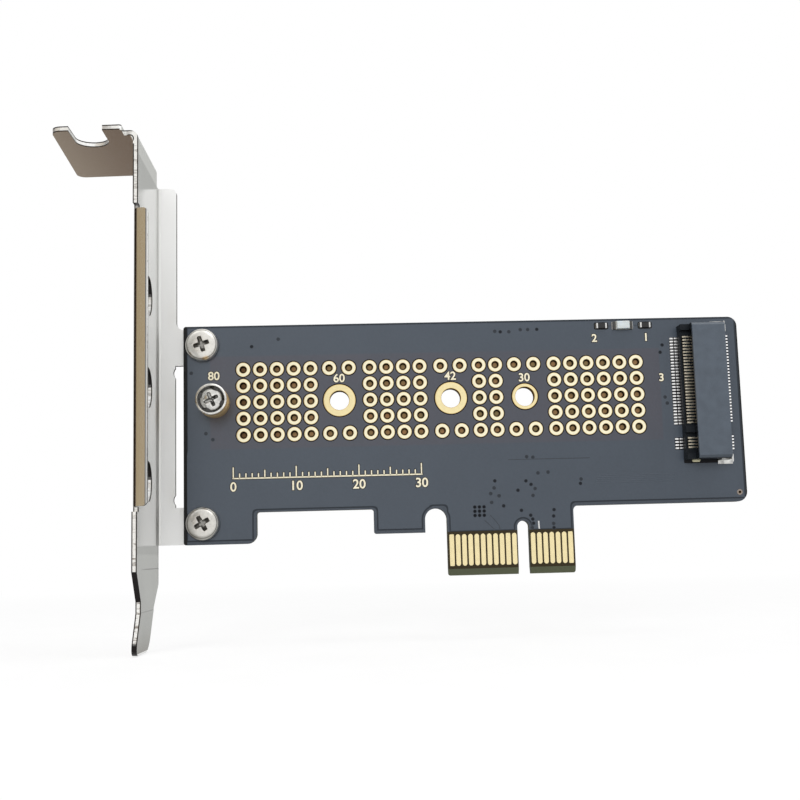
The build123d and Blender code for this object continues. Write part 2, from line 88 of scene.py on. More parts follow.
BOARD_LOW, BOARD_HIGH = corners("circuit_board")
FRONT, BACK = BOARD_LOW[1], BOARD_HIGH[1]
HOLE_60, HOLE_42, HOLE_30 = (middle(f"module_hole_ring_{size}")[[0, 2]] for size in (60, 42, 30))
STANDOFF = middle("m2_standoff")[[0, 2]]
CONTACTS, CONTACTS_BEFORE_KEY, CONTACT_WIDTH, CONTACT_TOP = 18, 11, 0.76, 6.95
SCALE_LEFT, SCALE_Z, SCALE_LENGTH = -46.0, 16.2, 30
# The second of these places is the middle of a black pad of painted shade under the socket's end.
CORNER_VIA, SOCKET_END_SHADE, PEG_HOLE = (35.3, FRONT, 12.1), (29.3, 0, 17.4), (28.5, 0, 17.38)

# Where the socket's lower tails start and its upper ones end, and where the lower ones bend
LOWER_TAILS, UPPER_TAILS, TAIL_BENDS = 26.5, 33.2, (25.86, 26.72)

# Bottom edges of the board, the recess between them, and its notches: middle, radius and top
RIGHT_BOTTOM, LEFT_BOTTOM, MIDDLE_BOTTOM = 10.6, 5.85, 6.9
RECESS_LEFT, RECESS_RIGHT, TONGUE_RIGHT = -42.35, -23.8, 8.15
SIDE_NOTCH, KEY_NOTCH = (-13.9, 1.75, 10.7), (0.0, 0.95, 8.4)

# Thickness of one ply of the laminate, and the brown at the bottom of open holes
PLY = 0.2
OPEN_FILL = (0.1, 0.08, 0.07)

# Areas of the board: left, right, bottom and top
HOLE_FIELD, RIGHT_POUR = (-49.6, 23.4, 20.9, 35.9), (23.4, 35.0, 12.0, 36.4)
TRACKS, BARE_LAMINATE = (12.0, 25.0, 13.9, 15.6), (-12.6, 8.6, -1.0, 6.92)

# The bracket's sheet: middle planes, slopes of its leaning leaves, and where the leaves start and end
SHEET_X, SHEET_OUTSIDE, TAB_Z, FLANGE_Y, LIP_Y = -58.6, -59.0, 67.7, 1.2, -16.3
TAB_SLOPE, TONGUE_SLOPE, LIP_SLOPE = (math.tan(math.radians(degrees)) for degrees in (1.4, 7, 6))
TAB_X, SIDE_X, TOP_Z, TONGUE_Z = -60.3, -57.7, 66.0, -4.0
LIP_ENDS, FLANGE_ENDS = (11.4, 56.1), (5.8, 64.6)
TOP_FOLD, FOLD_RADIUS = (-59.5, 66.8), 0.9
FLANGE_FOLD, LIP_FOLD, LIP_LINE, UPPER_CREASE, LOWER_CREASE = (-58.3, -57.66), -58.42, -57.0, 2.35, -3.9

# The camera's axes, its place in millimetres, and white light
CAMERA_RIGHT, CAMERA_UP = (0.99904, -0.03505, -0.02628), (0.02142, -0.13227, 0.99098)
CAMERA_BACK, CAMERA_PLACE = (-0.03821, -0.99059, -0.13140), (-26.298, -186.234, 3.645)
WHITE = (1, 1, 1)


# Sizes and colours that can be changed

def length(title, text, millimetres):
    """A length setting, stated in millimetres and kept in metres."""
    return FloatProperty(
        name=title, description=text, default=millimetres * MM, min=0, unit="LENGTH", precision=5)


def quantity(title, text, value, high=1000):
    """A setting from 0 to a highest value."""
    return FloatProperty(name=title, description=text, default=value, min=0, max=high)


def tint(title, text, value):
    """A colour setting."""
    return FloatVectorProperty(
        name=title, description=text, default=value, min=0, max=1, size=3, subtype="COLOR")


class CardBoardSettings(bpy.types.PropertyGroup):
    mask_colour: tint("Mask colour", "Solder mask over the copper", (0.061, 0.077, 0.100))
    bare_colour: tint("Bare colour", "Laminate without mask, between the contacts", (0.040, 0.030, 0.014))
    laminate_colour: tint("Laminate colour", "Cut edge of the glass laminate", (0.062, 0.068, 0.042))
    pour_margin: length("Copper margin", "From the routed edge to the copper under the mask", 0.6)
    trace_width: length("Trace width", "Width of a copper trace under the mask", 0.16)
    trace_height: length("Trace height", "How far a trace lifts the mask", 0.012)


class CardPlatingSettings(bpy.types.PropertyGroup):
    gold_colour: tint("Gold colour", "Bright plated copper", (1.0, 0.94, 0.70))
    worn_colour: tint("Worn gold", "Rings of the module holes", (0.95, 0.82, 0.47))
    contact_colour: tint("Contact colour", "Gold of the edge contacts", (0.92, 0.79, 0.46))
    copper_colour: tint("Copper colour", "Bare ring in the board's corner", (0.30, 0.26, 0.235))
    barrel_colour: tint("Barrel colour", "Shaded inside of the module holes", (0.20, 0.13, 0.06))
    plug_colour: tint("Plug colour", "Fill of the small holes", (0.46, 0.25, 0.12))
    small_ring_radius: length("Small ring radius", "Outside of a small plated ring", 1.16)
    small_barrel_radius: length("Small barrel radius", "Inside of a small plated hole", 0.57)
    plating: length("Plating thickness", "How far the plating stands off the board", 0.045)
    ring_sides: IntProperty(name="Ring sides", description="Facets round one small ring", default=22, min=8)


class CardHardwareSettings(bpy.types.PropertyGroup):
    nickel_colour: tint("Nickel colour", "Plated screws", (0.82, 0.80, 0.75))
    small_screw_colour: tint("Small screw colour", "Screw in the standoff", (0.96, 0.95, 0.91))
    steel_colour: tint("Bracket colour", "Zinc-plated sheet", (0.95, 0.95, 0.93))
    brass_colour: tint("Brass colour", "Standoff and nut", (0.86, 0.62, 0.32))
    recess_width: length("Recess width", "Width of one arm of the cross recess", 0.56)
    recess_depth: length("Recess depth", "Depth of the cross recess in the middle", 1.15)
    thread_pitch: length("Thread pitch", "Pitch of the bracket screws' thread", 0.5)


class CardSocketSettings(bpy.types.PropertyGroup):
    plastic_colour: tint("Plastic colour", "Moulded socket", (0.086, 0.107, 0.135))
    contact_colour: tint("Contact colour", "Gold in the slot", (1.0, 0.91, 0.72))
    tin_colour: tint("Tin colour", "Tails, tabs and solder", (0.78, 0.78, 0.76))
    solder_reach: length("Solder reach", "How far a fillet of solder runs out from its part", 0.16)


class CardPrintSettings(bpy.types.PropertyGroup):
    print_colour: tint("Print colour", "Numbers and marks on the board", (1.0, 0.93, 0.72))
    number_height: length("Number height", "Height of the numbers over the module holes", 1.35)
    print_thickness: length("Print thickness", "How far the print stands off the board", 0.02)
    border: length("Border", "How far the dark border reaches past the print", 0.10)


class CardStageSettings(bpy.types.PropertyGroup):
    lens: quantity("Lens", "Focal length in millimetres", 52.22)
    sensor: quantity("Sensor", "Width of the sensor in millimetres", 36)
    key_power: quantity("Key lamp", "Power of the large front lamp", 3.8)
    fill_power: quantity("Fill lamp", "Power of the upper lamp", 1.2)
    world_light: quantity("World light", "Strength of the even light from all sides", 0.40, 1)
    floor_light: quantity("Floor light", "How bright the floor is besides what falls on it", 0.78, 1)
    tan_colour: tint("Tan card", "Card that the metal reflects from the front left", (0.36, 0.28, 0.17))
    brown_colour: tint("Brown card", "Card that rounded edges reflect from the left", (0.055, 0.038, 0.026))
    under_colour: tint("Lower card", "Card that surfaces facing down reflect", (0.37, 0.32, 0.26))
    shade_colour: tint("Darker part", "Right part of the lower card", (0.15, 0.11, 0.085))
    grey_colour: tint("Grey card", "Card that surfaces facing right reflect", (0.53, 0.535, 0.52))


SETTINGS = {
    "card_board": CardBoardSettings, "card_plating": CardPlatingSettings,
    "card_hardware": CardHardwareSettings, "card_socket": CardSocketSettings,
    "card_print": CardPrintSettings, "card_stage": CardStageSettings,
}


# Surfaces

def grid_quads(rows, columns, wrap_rows=False, wrap_columns=False):
    """Quads of a grid of points: each point with its next in row and column, modulo the size if wrapped."""
    row = np.arange(rows if wrap_rows else rows - 1)
    column = np.arange(columns if wrap_columns else columns - 1)
    i, j = np.meshgrid(row, column, indexing="ij")
    i_next, j_next = (i + 1) % rows, (j + 1) % columns
    quad = (i * columns + j, i_next * columns + j, i_next * columns + j_next, i * columns + j_next)
    return np.stack(quad, -1).reshape(-1, 4)


def skin(rings, closed=False):
    """Surface over rings of points, (rings, points, 3): ring k is joined to ring k + 1 point by point.
    The end rings are filled with fans, or joined to each other when the surface closes on itself."""
    rows, columns = rings.shape[:2]
    quads = grid_quads(rows, columns, closed, True)
    if not closed:
        step = np.arange(1, columns - 1)
        fan = np.stack([0 * step, step + 1, step, step], -1)
        quads = np.concatenate([quads, fan, fan[:, [0, 2, 1, 1]] + (rows - 1) * columns])
    return rings.reshape(-1, 3), quads


def pillow(top, bottom):
    """Closed body between two grids of points of one size: both grids and the strip round their borders."""
    rows, columns = top.shape[:2]
    quads = grid_quads(rows, columns)
    index = np.arange(rows * columns).reshape(rows, columns)
    border = np.concatenate([index[0, :-1], index[:-1, -1], index[-1, :0:-1], index[:0:-1, 0]])
    after = np.roll(border, -1)
    count = rows * columns
    strip = np.stack([border, border + count, after + count, after], -1)
    points = np.concatenate([top.reshape(-1, 3), bottom.reshape(-1, 3)])
    return points, np.concatenate([quads, quads[:, ::-1] + count, strip])


def repeated(surface, places):
    """The surface at every place: its points plus each place, its faces with their numbers moved on."""
    points, faces = surface
    places = np.asarray(places, float).reshape(-1, 1, 3)
    offsets = np.arange(len(places)).reshape(-1, 1, 1) * len(points)
    return (places + points).reshape(-1, 3), (offsets + faces).reshape(-1, 4)


def together(*surfaces):
    """Several surfaces as one."""
    starts = np.cumsum([0] + [len(points) for points, faces in surfaces])
    points = np.concatenate([points for points, faces in surfaces])
    return points, np.concatenate([faces + start for (_, faces), start in zip(surfaces, starts)])


def around(sides, turn=0.0):
    """Angles of the points of one ring."""
    return np.arange(sides) * 2 * np.pi / sides + turn


def turned(profile, sides):
    """Rings about the Y axis: (r cos a, y, r sin a) for each profile point (r, y) and each angle a."""
    profile = np.asarray(profile, float)
    angle = around(sides)
    radius, depth = profile[:, :1], profile[:, 1:]
    return np.stack([radius * np.cos(angle), depth + 0 * angle, radius * np.sin(angle)], -1)


def stacked(outline, levels):
    """Rings of one outline in X and Z at several (y, inset) levels: each point is drawn in towards the
    middle line by the inset, along the outline's own normal, which is the tangent turned by a quarter."""
    tangent = np.roll(outline, -1, 0) - np.roll(outline, 1, 0)
    normal = np.stack([tangent[:, 1], -tangent[:, 0]], -1)
    normal /= np.linalg.norm(normal, axis=1, keepdims=True)
    y, inset = np.asarray(levels, float).T[:, :, None]
    x = outline[:, 0] - inset * normal[:, 0]
    return np.stack([x, y + 0 * x, outline[:, 1] - inset * normal[:, 1]], -1)


def rounded_outline(width, height, squareness, sides):
    """Superellipse, x = w/2 |cos a|^(2/n) and z = h/2 |sin a|^(2/n) with their signs, of squareness n."""
    angle = around(sides, np.pi / sides)
    cos, sin = np.cos(angle), np.sin(angle)
    power = 2 / squareness
    x = width / 2 * np.sign(cos) * np.abs(cos) ** power
    return np.stack([x, height / 2 * np.sign(sin) * np.abs(sin) ** power], -1)


def stadium_outline(width, height, sides):
    """Half circles at the ends of an upright bar: (r cos a, r sin a) moved up or down by (h - w) / 2."""
    angle = around(sides, np.pi / sides)
    radius = width / 2
    shift = np.where(np.sin(angle) > 0, 1, -1) * (height / 2 - radius)
    return np.stack([radius * np.cos(angle), radius * np.sin(angle) + shift], -1)


def raised(outline, face, height, edge):
    """Thin body on a face of the board: the outline goes up, then in by the edge, and is filled."""
    out = np.sign(face)
    return skin(stacked(outline, [(face - out * 0.02, 0), (face + out * (height - edge), 0),
                                  (face + out * height, edge)]))


def pad(width, height, squareness, sides, lift, edge, face=FRONT):
    """Raised plate with a rounded outline."""
    return raised(rounded_outline(width, height, squareness, sides), face, lift, edge)


def along(path, width, height, face):
    """Ribbon on a face of the board: at each path point the section runs up, over and down across the path's
    direction, (x, z) +- w/2 times the normal, and the top is a little narrower than the foot."""
    path = np.asarray(path, float)
    direction = np.gradient(path, axis=0)
    direction /= np.linalg.norm(direction, axis=1, keepdims=True)
    normal = np.stack([-direction[:, 1], direction[:, 0]], -1)[:, None]
    side = np.array([-0.5, -0.4, 0.4, 0.5])[None, :, None] * width
    xz = path[:, None] + side * normal
    y = face + np.sign(face) * height * np.array([-0.5, 1, 1, -0.5]) + 0 * xz[:, :, 0]
    return skin(np.stack([xz[:, :, 0], y, xz[:, :, 1]], -1))


def linked(name, data):
    """A new object in the scene."""
    made = bpy.data.objects.new(name, data)
    bpy.context.scene.collection.objects.link(made)
    return made


def seat(name, mesh, finish, replaces=()):
    """Makes a mesh a piece that rides on the card."""
    mesh.materials.append(finish)
    made = linked(name, mesh)
    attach(made, "root")
    if replaces:
        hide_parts(*replaces)


def piece(name, surface, finish, replaces=(), crease=40, values=None):
    """Makes the surface a piece, in metres, with smooth faces up to the crease angle."""
    points, faces = surface
    mesh = bpy.data.meshes.new(name)
    lists = faces.tolist()
    mesh.from_pydata((points * MM).tolist(), [], [face[:3] if face[2] == face[3] else face for face in lists])
    if values is not None:
        attribute = mesh.attributes.new("shade", "FLOAT", "POINT")
        attribute.data.foreach_set("value", np.asarray(values, np.float32))
    skin_mesh = bmesh.new()
    skin_mesh.from_mesh(mesh)
    bmesh.ops.recalc_face_normals(skin_mesh, faces=skin_mesh.faces)
    skin_mesh.to_mesh(mesh)
    skin_mesh.free()
    mesh.polygons.foreach_set("use_smooth", np.ones(len(mesh.polygons), bool))
    mesh.set_sharp_from_angle(angle=math.radians(crease))
    seat(name, mesh, finish, replaces)


# Shader trees

MIX_SOCKETS = {"FLOAT": (2, 3, 0), "VECTOR": (4, 5, 1), "RGBA": (6, 7, 2)}


def calc(tree, operation, *values, clamp=False):
    """A number worked out from others."""
    return add(tree, "Math", enumerate(values), operation=operation, use_clamp=clamp)


def by(operation, swapped=False):
    """A method that works out one operation on a wire and what is given, in the opposite order if swapped."""
    def method(self, *others):
        values = (*others, self) if swapped else (self, *others)
        return calc(self.tree, operation, *values)
    return method


class Wire:
    """An output in a shader tree. Sums, products and comparisons of wires add the nodes that work them out;
    the larger of two is a | b, and the smaller is a & b."""
    __add__, __sub__, __mul__, __truediv__ = by("ADD"), by("SUBTRACT"), by("MULTIPLY"), by("DIVIDE")
    __or__, __and__, __gt__, __lt__ = by("MAXIMUM"), by("MINIMUM"), by("GREATER_THAN"), by("LESS_THAN")
    __rsub__, __rtruediv__, __abs__ = by("SUBTRACT", True), by("DIVIDE", True), by("ABSOLUTE")

    def __init__(self, tree, socket):
        self.tree, self.socket = tree, socket

    def siblings(self):
        """Every output of this one's node."""
        return [Wire(self.tree, socket) for socket in self.socket.node.outputs]

    def math(self, operation, *others, clamp=False):
        """A number worked out from this one and others."""
        return calc(self.tree, operation, self, *others, clamp=clamp)

    def step(self, low, high):
        """0 below the low value, 1 above the high one, and a smooth rise between."""
        inputs = [("Value", self), ("From Min", low), ("From Max", high)]
        return add(self.tree, "MapRange", inputs, interpolation_type="SMOOTHSTEP")

    def near(self, at, half):
        """1 within half a width of a value, with soft sides."""
        return abs(self - at).step(half * 1.6, half * 0.6)

    def mix(self, first, second, kind="RGBA"):
        """The first colour, vector or number where this is 0, and the second where it is 1."""
        one, two, out = MIX_SOCKETS[kind]
        return add(self.tree, "Mix", [(0, self), (one, first), (two, second)], out, data_type=kind)

    def times(self, vector):
        """This vector times another, part by part."""
        return add(self.tree, "VectorMath", [(0, self), (1, vector)], operation="MULTIPLY")

    def noise(self, scale, detail):
        """Noise at this place."""
        return add(self.tree, "TexNoise", [("Vector", self), ("Scale", scale), ("Detail", detail)])

    def bump(self, strength, distance):
        """Normal bent by this height; the distance is in millimetres."""
        return add(self.tree, "Bump", [("Height", self), ("Strength", strength), ("Distance", distance * MM)])


def feed(tree, socket, value):
    """Sets an input, or joins it to a wire or an output."""
    value = getattr(value, "socket", value)
    if isinstance(value, bpy.types.NodeSocket):
        tree.links.new(value, socket)
    elif socket.type == "RGBA" and len(value) == 3:
        socket.default_value = (*value, 1)
    else:
        socket.default_value = value


def add(tree, kind, inputs=(), out=0, **settings):
    """A node with its settings and inputs, (number or name, value) pairs; returns one of its outputs."""
    made = tree.nodes.new("ShaderNode" + kind)
    for key, value in settings.items():
        setattr(made, key, value)
    for key, value in inputs:
        feed(tree, made.inputs[key], value)
    return Wire(tree, made.outputs[out]) if made.outputs else None


def painted(colour, *coats):
    """The colour under coats, each an amount and a colour."""
    for amount, coat in coats:
        colour = amount.mix(colour, coat)
    return colour


def shade(colour, amount):
    """The colour times a number, or times one number for each channel, at most 1."""
    return np.minimum(np.array(colour) * amount, 1).tolist()


def place_in_mm(tree):
    """Object coordinates in millimetres, and the three apart."""
    own = add(tree, "TexCoord", out="Object")
    scaled = add(tree, "VectorMath", [(0, own), (3, 1 / MM)], operation="SCALE")
    return scaled, *add(tree, "SeparateXYZ", [(0, scaled)]).siblings()


def facing(tree, kind):
    """The three parts of the surface's normal."""
    return add(tree, "SeparateXYZ", [(0, add(tree, "NewGeometry", out=kind))]).siblings()


def own_shade(tree):
    """The piece's own value at each point."""
    return add(tree, "Attribute", out="Fac", attribute_name="shade")


def rays(tree, *kinds):
    """1 for rays of any of the kinds."""
    first, *others = (add(tree, "LightPath", out=f"Is {kind} Ray") for kind in kinds)
    for other in others:
        first = first | other
    return first


# Effects that finishes share, as node groups

def effect(name, inputs, outputs):
    """An empty node group with named number inputs and outputs, what it is given, and its results."""
    group = bpy.data.node_groups.new(name, "ShaderNodeTree")
    for title, value in inputs:
        group.interface.new_socket(title, in_out="INPUT", socket_type="NodeSocketFloat").default_value = value
    for title in outputs:
        group.interface.new_socket(title, in_out="OUTPUT", socket_type="NodeSocketFloat")
    given = group.nodes.new("NodeGroupInput").outputs[:len(inputs)]
    return group, [Wire(group, socket) for socket in given], group.nodes.new("NodeGroupOutput").inputs


def grain_effect(name):
    """Grain of a surface: even noise of one size, for tone, roughness and relief."""
    group, (size, roughness, spread), results = effect(
        name, [("Grain size mm", 0.5), ("Roughness", 0.4), ("Roughness spread", 0.1)],
        ["Tone", "Roughness", "Height"])
    place = place_in_mm(group)[0]
    broad = place.noise(1.0 / size, 3.0)
    fine = place.noise(1.0 / size * 3.7, 1.0)
    for result, value in zip(results, (broad.step(0.25, 0.75), (broad - 0.5) * spread + roughness, fine)):
        feed(group, result, value)


def scratch_effect(name):
    """Fine scratches: long thin noise in two directions, kept where it peaks."""
    group, (long, wide), results = effect(name, [("Length mm", 3.0), ("Width mm", 0.05)], ["Scratches"])
    place = place_in_mm(group)[0]
    sizes = add(group, "CombineXYZ", enumerate((1.0 / long, 1.0 / wide, 1.0 / wide)))
    lines = []
    for turn in ((0.0, 0.35, 0.0), (0.0, -1.1, 0.3)):
        inputs = [("Vector", place), ("Rotation", turn)]
        rotated = add(group, "VectorRotate", inputs, rotation_type="EULER_XYZ")
        lines.append(rotated.times(sizes).noise(1.0, 0.0).step(0.70, 0.80))
    feed(group, results[0], lines[0] | lines[1])


def depth_inside(x, z, left, right, bottom, top):
    """How far a point is inside a rectangle: the least of its distances inside the four sides."""
    return (x - left) & (right - x) & ((z - bottom) & (top - z))


def soft_mask(depth, soft):
    """1 inside and 0 outside, with a straight rise over a width."""
    return (depth / soft).math("ADD", 0.5, clamp=True)


def area_effect(name):
    """Rectangle on the board, as a soft mask."""
    group, (x, z, left, right, bottom, top, soft), results = effect(
        name, [("X", 0), ("Z", 0), ("Left", 0), ("Right", 1), ("Bottom", 0), ("Top", 1), ("Softness", 0.05)],
        ["Inside"])
    feed(group, results[0], soft_mask(depth_inside(x, z, left, right, bottom, top), soft))


EFFECTS = {"grain": grain_effect, "scratches": scratch_effect, "area": area_effect}


def use(tree, name, *values):
    """Puts one of the shared effects into a material with its own values; returns its outputs."""
    title = "card " + name
    if title not in bpy.data.node_groups:
        EFFECTS[name](title)
    made = tree.nodes.new("ShaderNodeGroup")
    made.node_tree = bpy.data.node_groups[title]
    for socket, value in zip(made.inputs, values):
        feed(tree, socket, value)
    return [Wire(tree, socket) for socket in made.outputs]


# Finishes

def new_finish(name):
    """A material and its tree."""
    finish = bpy.data.materials.new(name)
    finish.use_nodes = True
    return finish, finish.node_tree


def set_shader(finish, **inputs):
    """Sets or joins the inputs of a finish's shader; an underscore stands for a space."""
    for key, value in inputs.items():
        feed(finish.node_tree, finish.node_tree.nodes["Principled BSDF"].inputs[key.replace("_", " ")], value)
    return finish


def base_colour(finish):
    """What is joined to the base colour of a finish."""
    socket = finish.node_tree.nodes["Principled BSDF"].inputs["Base Color"]
    return Wire(finish.node_tree, socket.links[0].from_socket)


def metal_finish(name, colour, roughness, grain=0.4, scratches=0.5, relief=0.004, tone=0.86, shaded=False):
    """Plated or bare metal: its tone and gloss change with the grain, and fine scratches catch the light. A
    shaded one is painted dark as shade where the piece's own value is 0."""
    finish, tree = new_finish(name)
    mottle, gloss, height = use(tree, "grain", grain, roughness, 0.16)
    lines = use(tree, "scratches", 2.5, 0.06)[0] * scratches
    metal = painted(shade(colour, tone), (mottle, colour), (lines, shade(colour, 1.12)))
    if shaded:
        metal = own_shade(tree).mix(shade(colour, 0.07), metal)
    return set_shader(finish, Base_Color=metal, Roughness=lines * 0.12 + gloss, Metallic=1.0,
                      Normal=height.bump(0.35, relief))


def moulded_finish(name, colour, roughness, grain=0.12, tone=0.85, specular=0.5):
    """Moulded plastic or ceramic: fine even grain in its relief, broad faint change in tone."""
    finish, tree = new_finish(name)
    mottle, gloss, height = use(tree, "grain", grain, roughness, 0.14)
    broad = use(tree, "grain", grain * 14, roughness, 0.1)[0]
    toned = painted(shade(colour, tone), (mottle, colour), (broad, shade(colour, 1.12)))
    return set_shader(finish, Base_Color=toned, Roughness=gloss, Specular_IOR_Level=specular,
                      Normal=height.bump(0.5, 0.012))


def copper_inside(x, z, margin):
    """How far a point is inside the copper: the largest of its distances inside the four pours, softly
    joined, and no more than its distance from the two round-ended notches."""
    left, right, top = BOARD_LOW[0] + 0.55, BOARD_HIGH[0] - 0.35, BOARD_HIGH[2] - 0.18
    pours = (
        (left, right, RIGHT_BOTTOM + margin, top),
        (left, RECESS_LEFT - margin, LEFT_BOTTOM + margin, 20),
        (RECESS_RIGHT + margin, -15.0, MIDDLE_BOTTOM + margin, 20),
        (-12.0, TONGUE_RIGHT - margin * 0.6, CONTACT_TOP, 20),
    )
    inside, *others = [depth_inside(x, z, *pour) for pour in pours]
    for other in others:
        inside = inside.math("SMOOTH_MAX", other, 1.2)
    for notch_x, radius, notch_top in (SIDE_NOTCH, KEY_NOTCH):
        above = z - (notch_top - radius) | 0.0
        off = x - notch_x
        inside = inside & (off * off + above * above).math("SQRT") - (radius + 0.45)
    return inside


def board_finish(settings):
    """Dark solder mask with a thin dark line round the copper, bare laminate between the contacts, and the
    cut laminate on the board's sides and bevel."""
    finish, tree = new_finish("Dark solder mask board")
    x, y, z = place_in_mm(tree)[1:]
    mask_colour, cut_colour = settings.mask_colour, settings.laminate_colour
    inside = copper_inside(x, z, settings.pour_margin / MM)
    copper = inside.step(-0.08, 0.08)
    outline = abs(inside).step(0.17, 0.07) * 0.7
    field = use(tree, "area", x, z, *HOLE_FIELD, 0.3)[0]
    right_pour = use(tree, "area", x, z, *RIGHT_POUR, 0.12)[0]
    tracks = use(tree, "area", x, z, *TRACKS, 0.08)[0]
    stripes = tracks * (z * 21.0).math("SINE").step(-0.2, 0.5)
    bare = soft_mask(depth_inside(x, z, *BARE_LAMINATE), 0.1)
    left, right = BOARD_LOW[0] + 0.55, BOARD_HIGH[0] - 0.21
    side_strip = x.step(left + 0.06, left - 0.06) | x.step(right - 0.05, right + 0.05)
    surface = use(tree, "grain", 0.45, 0.36, 0.1)
    weave = use(tree, "grain", 6.0, 0.36, 0.1)[0]
    mask = painted(
        shade(mask_colour, 0.72),
        (copper, mask_colour),
        (field * 0.75, (0.076, 0.072, 0.090)),
        (right_pour * 0.2 + stripes * 0.3, shade(mask_colour, 1.25)),
        (weave * 0.35, shade(mask_colour, 0.85)),
        (surface[0] * 0.12, shade(mask_colour, 1.5)),
        (outline, shade(mask_colour, 0.2)),
        (side_strip, (0.012, 0.012, 0.012)),
        (bare, settings.bare_colour))
    cut = abs(facing(tree, "Normal")[1]).step(0.985, 0.94)
    plies = (y * (2 * math.pi / PLY)).math("SINE").step(-0.6, 0.8)
    bevel = z.step(1.25, 1.1) * y.step(0.75, 0.65)
    fibres = use(tree, "grain", 0.12, 0.6, 0.1)
    laminate = painted(
        shade(cut_colour, 0.6),
        (plies, cut_colour),
        (fibres[0] * 0.4, shade(cut_colour, 1.7)),
        (bevel, shade(cut_colour, 2.15)))
    relief = copper * 0.02 + stripes * 0.02 + surface[2] * 0.006 + fibres[2] * (cut * 0.03)
    matt = side_strip | bare | outline
    return set_shader(finish, Base_Color=cut.mix(mask, laminate), Roughness=cut * 0.3 + surface[1],
                      Specular_IOR_Level=matt * -0.35 + 0.5, Normal=relief.bump(1.0, 1.0))


def mask_relief_finish(settings):
    """The same mask where a trace lifts it, a shade darker, with dark vias where the piece's value is 1."""
    finish, tree = new_finish("Mask over traces")
    mottle, gloss, height = use(tree, "grain", 0.3, 0.33, 0.1)
    value = own_shade(tree)
    colour = painted(shade(settings.mask_colour, 0.5), (mottle, shade(settings.mask_colour, 0.7)),
                     (value, (0.006, 0.007, 0.010)))
    return set_shader(finish, Base_Color=colour, Roughness=gloss, Specular_IOR_Level=value * -0.4 + 0.5,
                      Normal=height.bump(0.3, 0.006))


def ring_finish(name, bright, barrel, plug):
    """Gold plating that follows the piece's own value: bright at 1 on the flat and deeper gold at its
    edges, dark at 0.2 in the hole as painted shade, black at 0 in the groove round the ring, partly the mask
    opening's dark edge and partly painted shade, and at -1 the brown fill of a small hole, which is painted
    darker to the left and paler to the right as shade and light, and darker towards its edge as shade."""
    finish, tree = new_finish(name)
    value, x = own_shade(tree), place_in_mm(tree)[1]
    mottle, gloss, height = use(tree, "grain", 0.35, 0.34, 0.2)
    lines = use(tree, "scratches", 1.6, 0.05)[0]
    broad = use(tree, "grain", 1.8, 0.3, 0.1)[0]
    worn = painted(shade(bright, 0.93), (mottle, bright), (lines * 0.3, shade(bright, 0.8)))
    flat = value.step(0.7, 1.0).mix(shade(bright, (0.86, 0.74, 0.56)), worn)
    hue = broad.mix(plug, shade(plug, (0.62, 0.9, 0.9)))
    # Painted light and shade: the fill is darker to the left and paler to the right.
    fill = painted(shade(plug, 0.3), (x.step(-46.5, -33.0), hue), (mottle * 0.3, shade(plug, 0.4)))
    plated = value.step(0.4, 0.6)
    # Painted shade: black in the groove, partly the mask opening's edge, and the dark barrel colour down the
    # hole.
    colour = painted((0.006, 0.005, 0.004), (value.step(0.02, 0.15), barrel), (plated, flat),
                     (value.step(-0.3, -0.9), fill))
    return set_shader(finish, Base_Color=colour, Roughness=gloss, Metallic=plated,
                      Specular_IOR_Level=plated * 0.5, Normal=height.bump(0.4, 0.01))


def cut_edges(tree, x, y, z, normal):
    """Where the bracket's sheet is cut, from its normal and the part of the strip a point is on, and how far
    the point is from the sheet's middle: the plate and tongue face X, the tab Z, the flange and lip Y."""
    nx, ny, nz = (abs(part) for part in normal)
    top, tab, side = z > TOP_Z, x < TAB_X, x > SIDE_X
    top_cut = top * (tab * (nz < 0.5) | (1.0 - tab) * (ny > 0.5))
    plate_off = abs(x - ((TONGUE_Z - z | 0.0) * -TONGUE_SLOPE + SHEET_X))
    lip_fold = use(tree, "area", y, z, -30.0, -15.3, *LIP_ENDS, 0.01)[0]
    flange_fold = use(tree, "area", y, z, 0.25, 30.0, *FLANGE_ENDS, 0.01)[0]
    plate_cut = (1.0 - (lip_fold | flange_fold)) * ((nx < 0.5) * (plate_off < 0.45))
    rest = (plate_cut | side * (ny < 0.5) | (nz > 0.5)) * (1.0 - top)
    outwards = x - SHEET_OUTSIDE
    tab_off = abs(z - (outwards * TAB_SLOPE + TAB_Z))
    side_off = abs(y - (y > -8.0).mix(outwards * -LIP_SLOPE + LIP_Y, FLANGE_Y, "FLOAT"))
    off = side.mix(plate_off, side_off, "FLOAT")
    fold_x, fold_z = x - TOP_FOLD[0], z - TOP_FOLD[1]
    fold_off = abs((fold_x * fold_x + fold_z * fold_z).math("SQRT") - FOLD_RADIUS)
    return top_cut | rest, top.mix(off, tab_off & off & fold_off, "FLOAT"), top


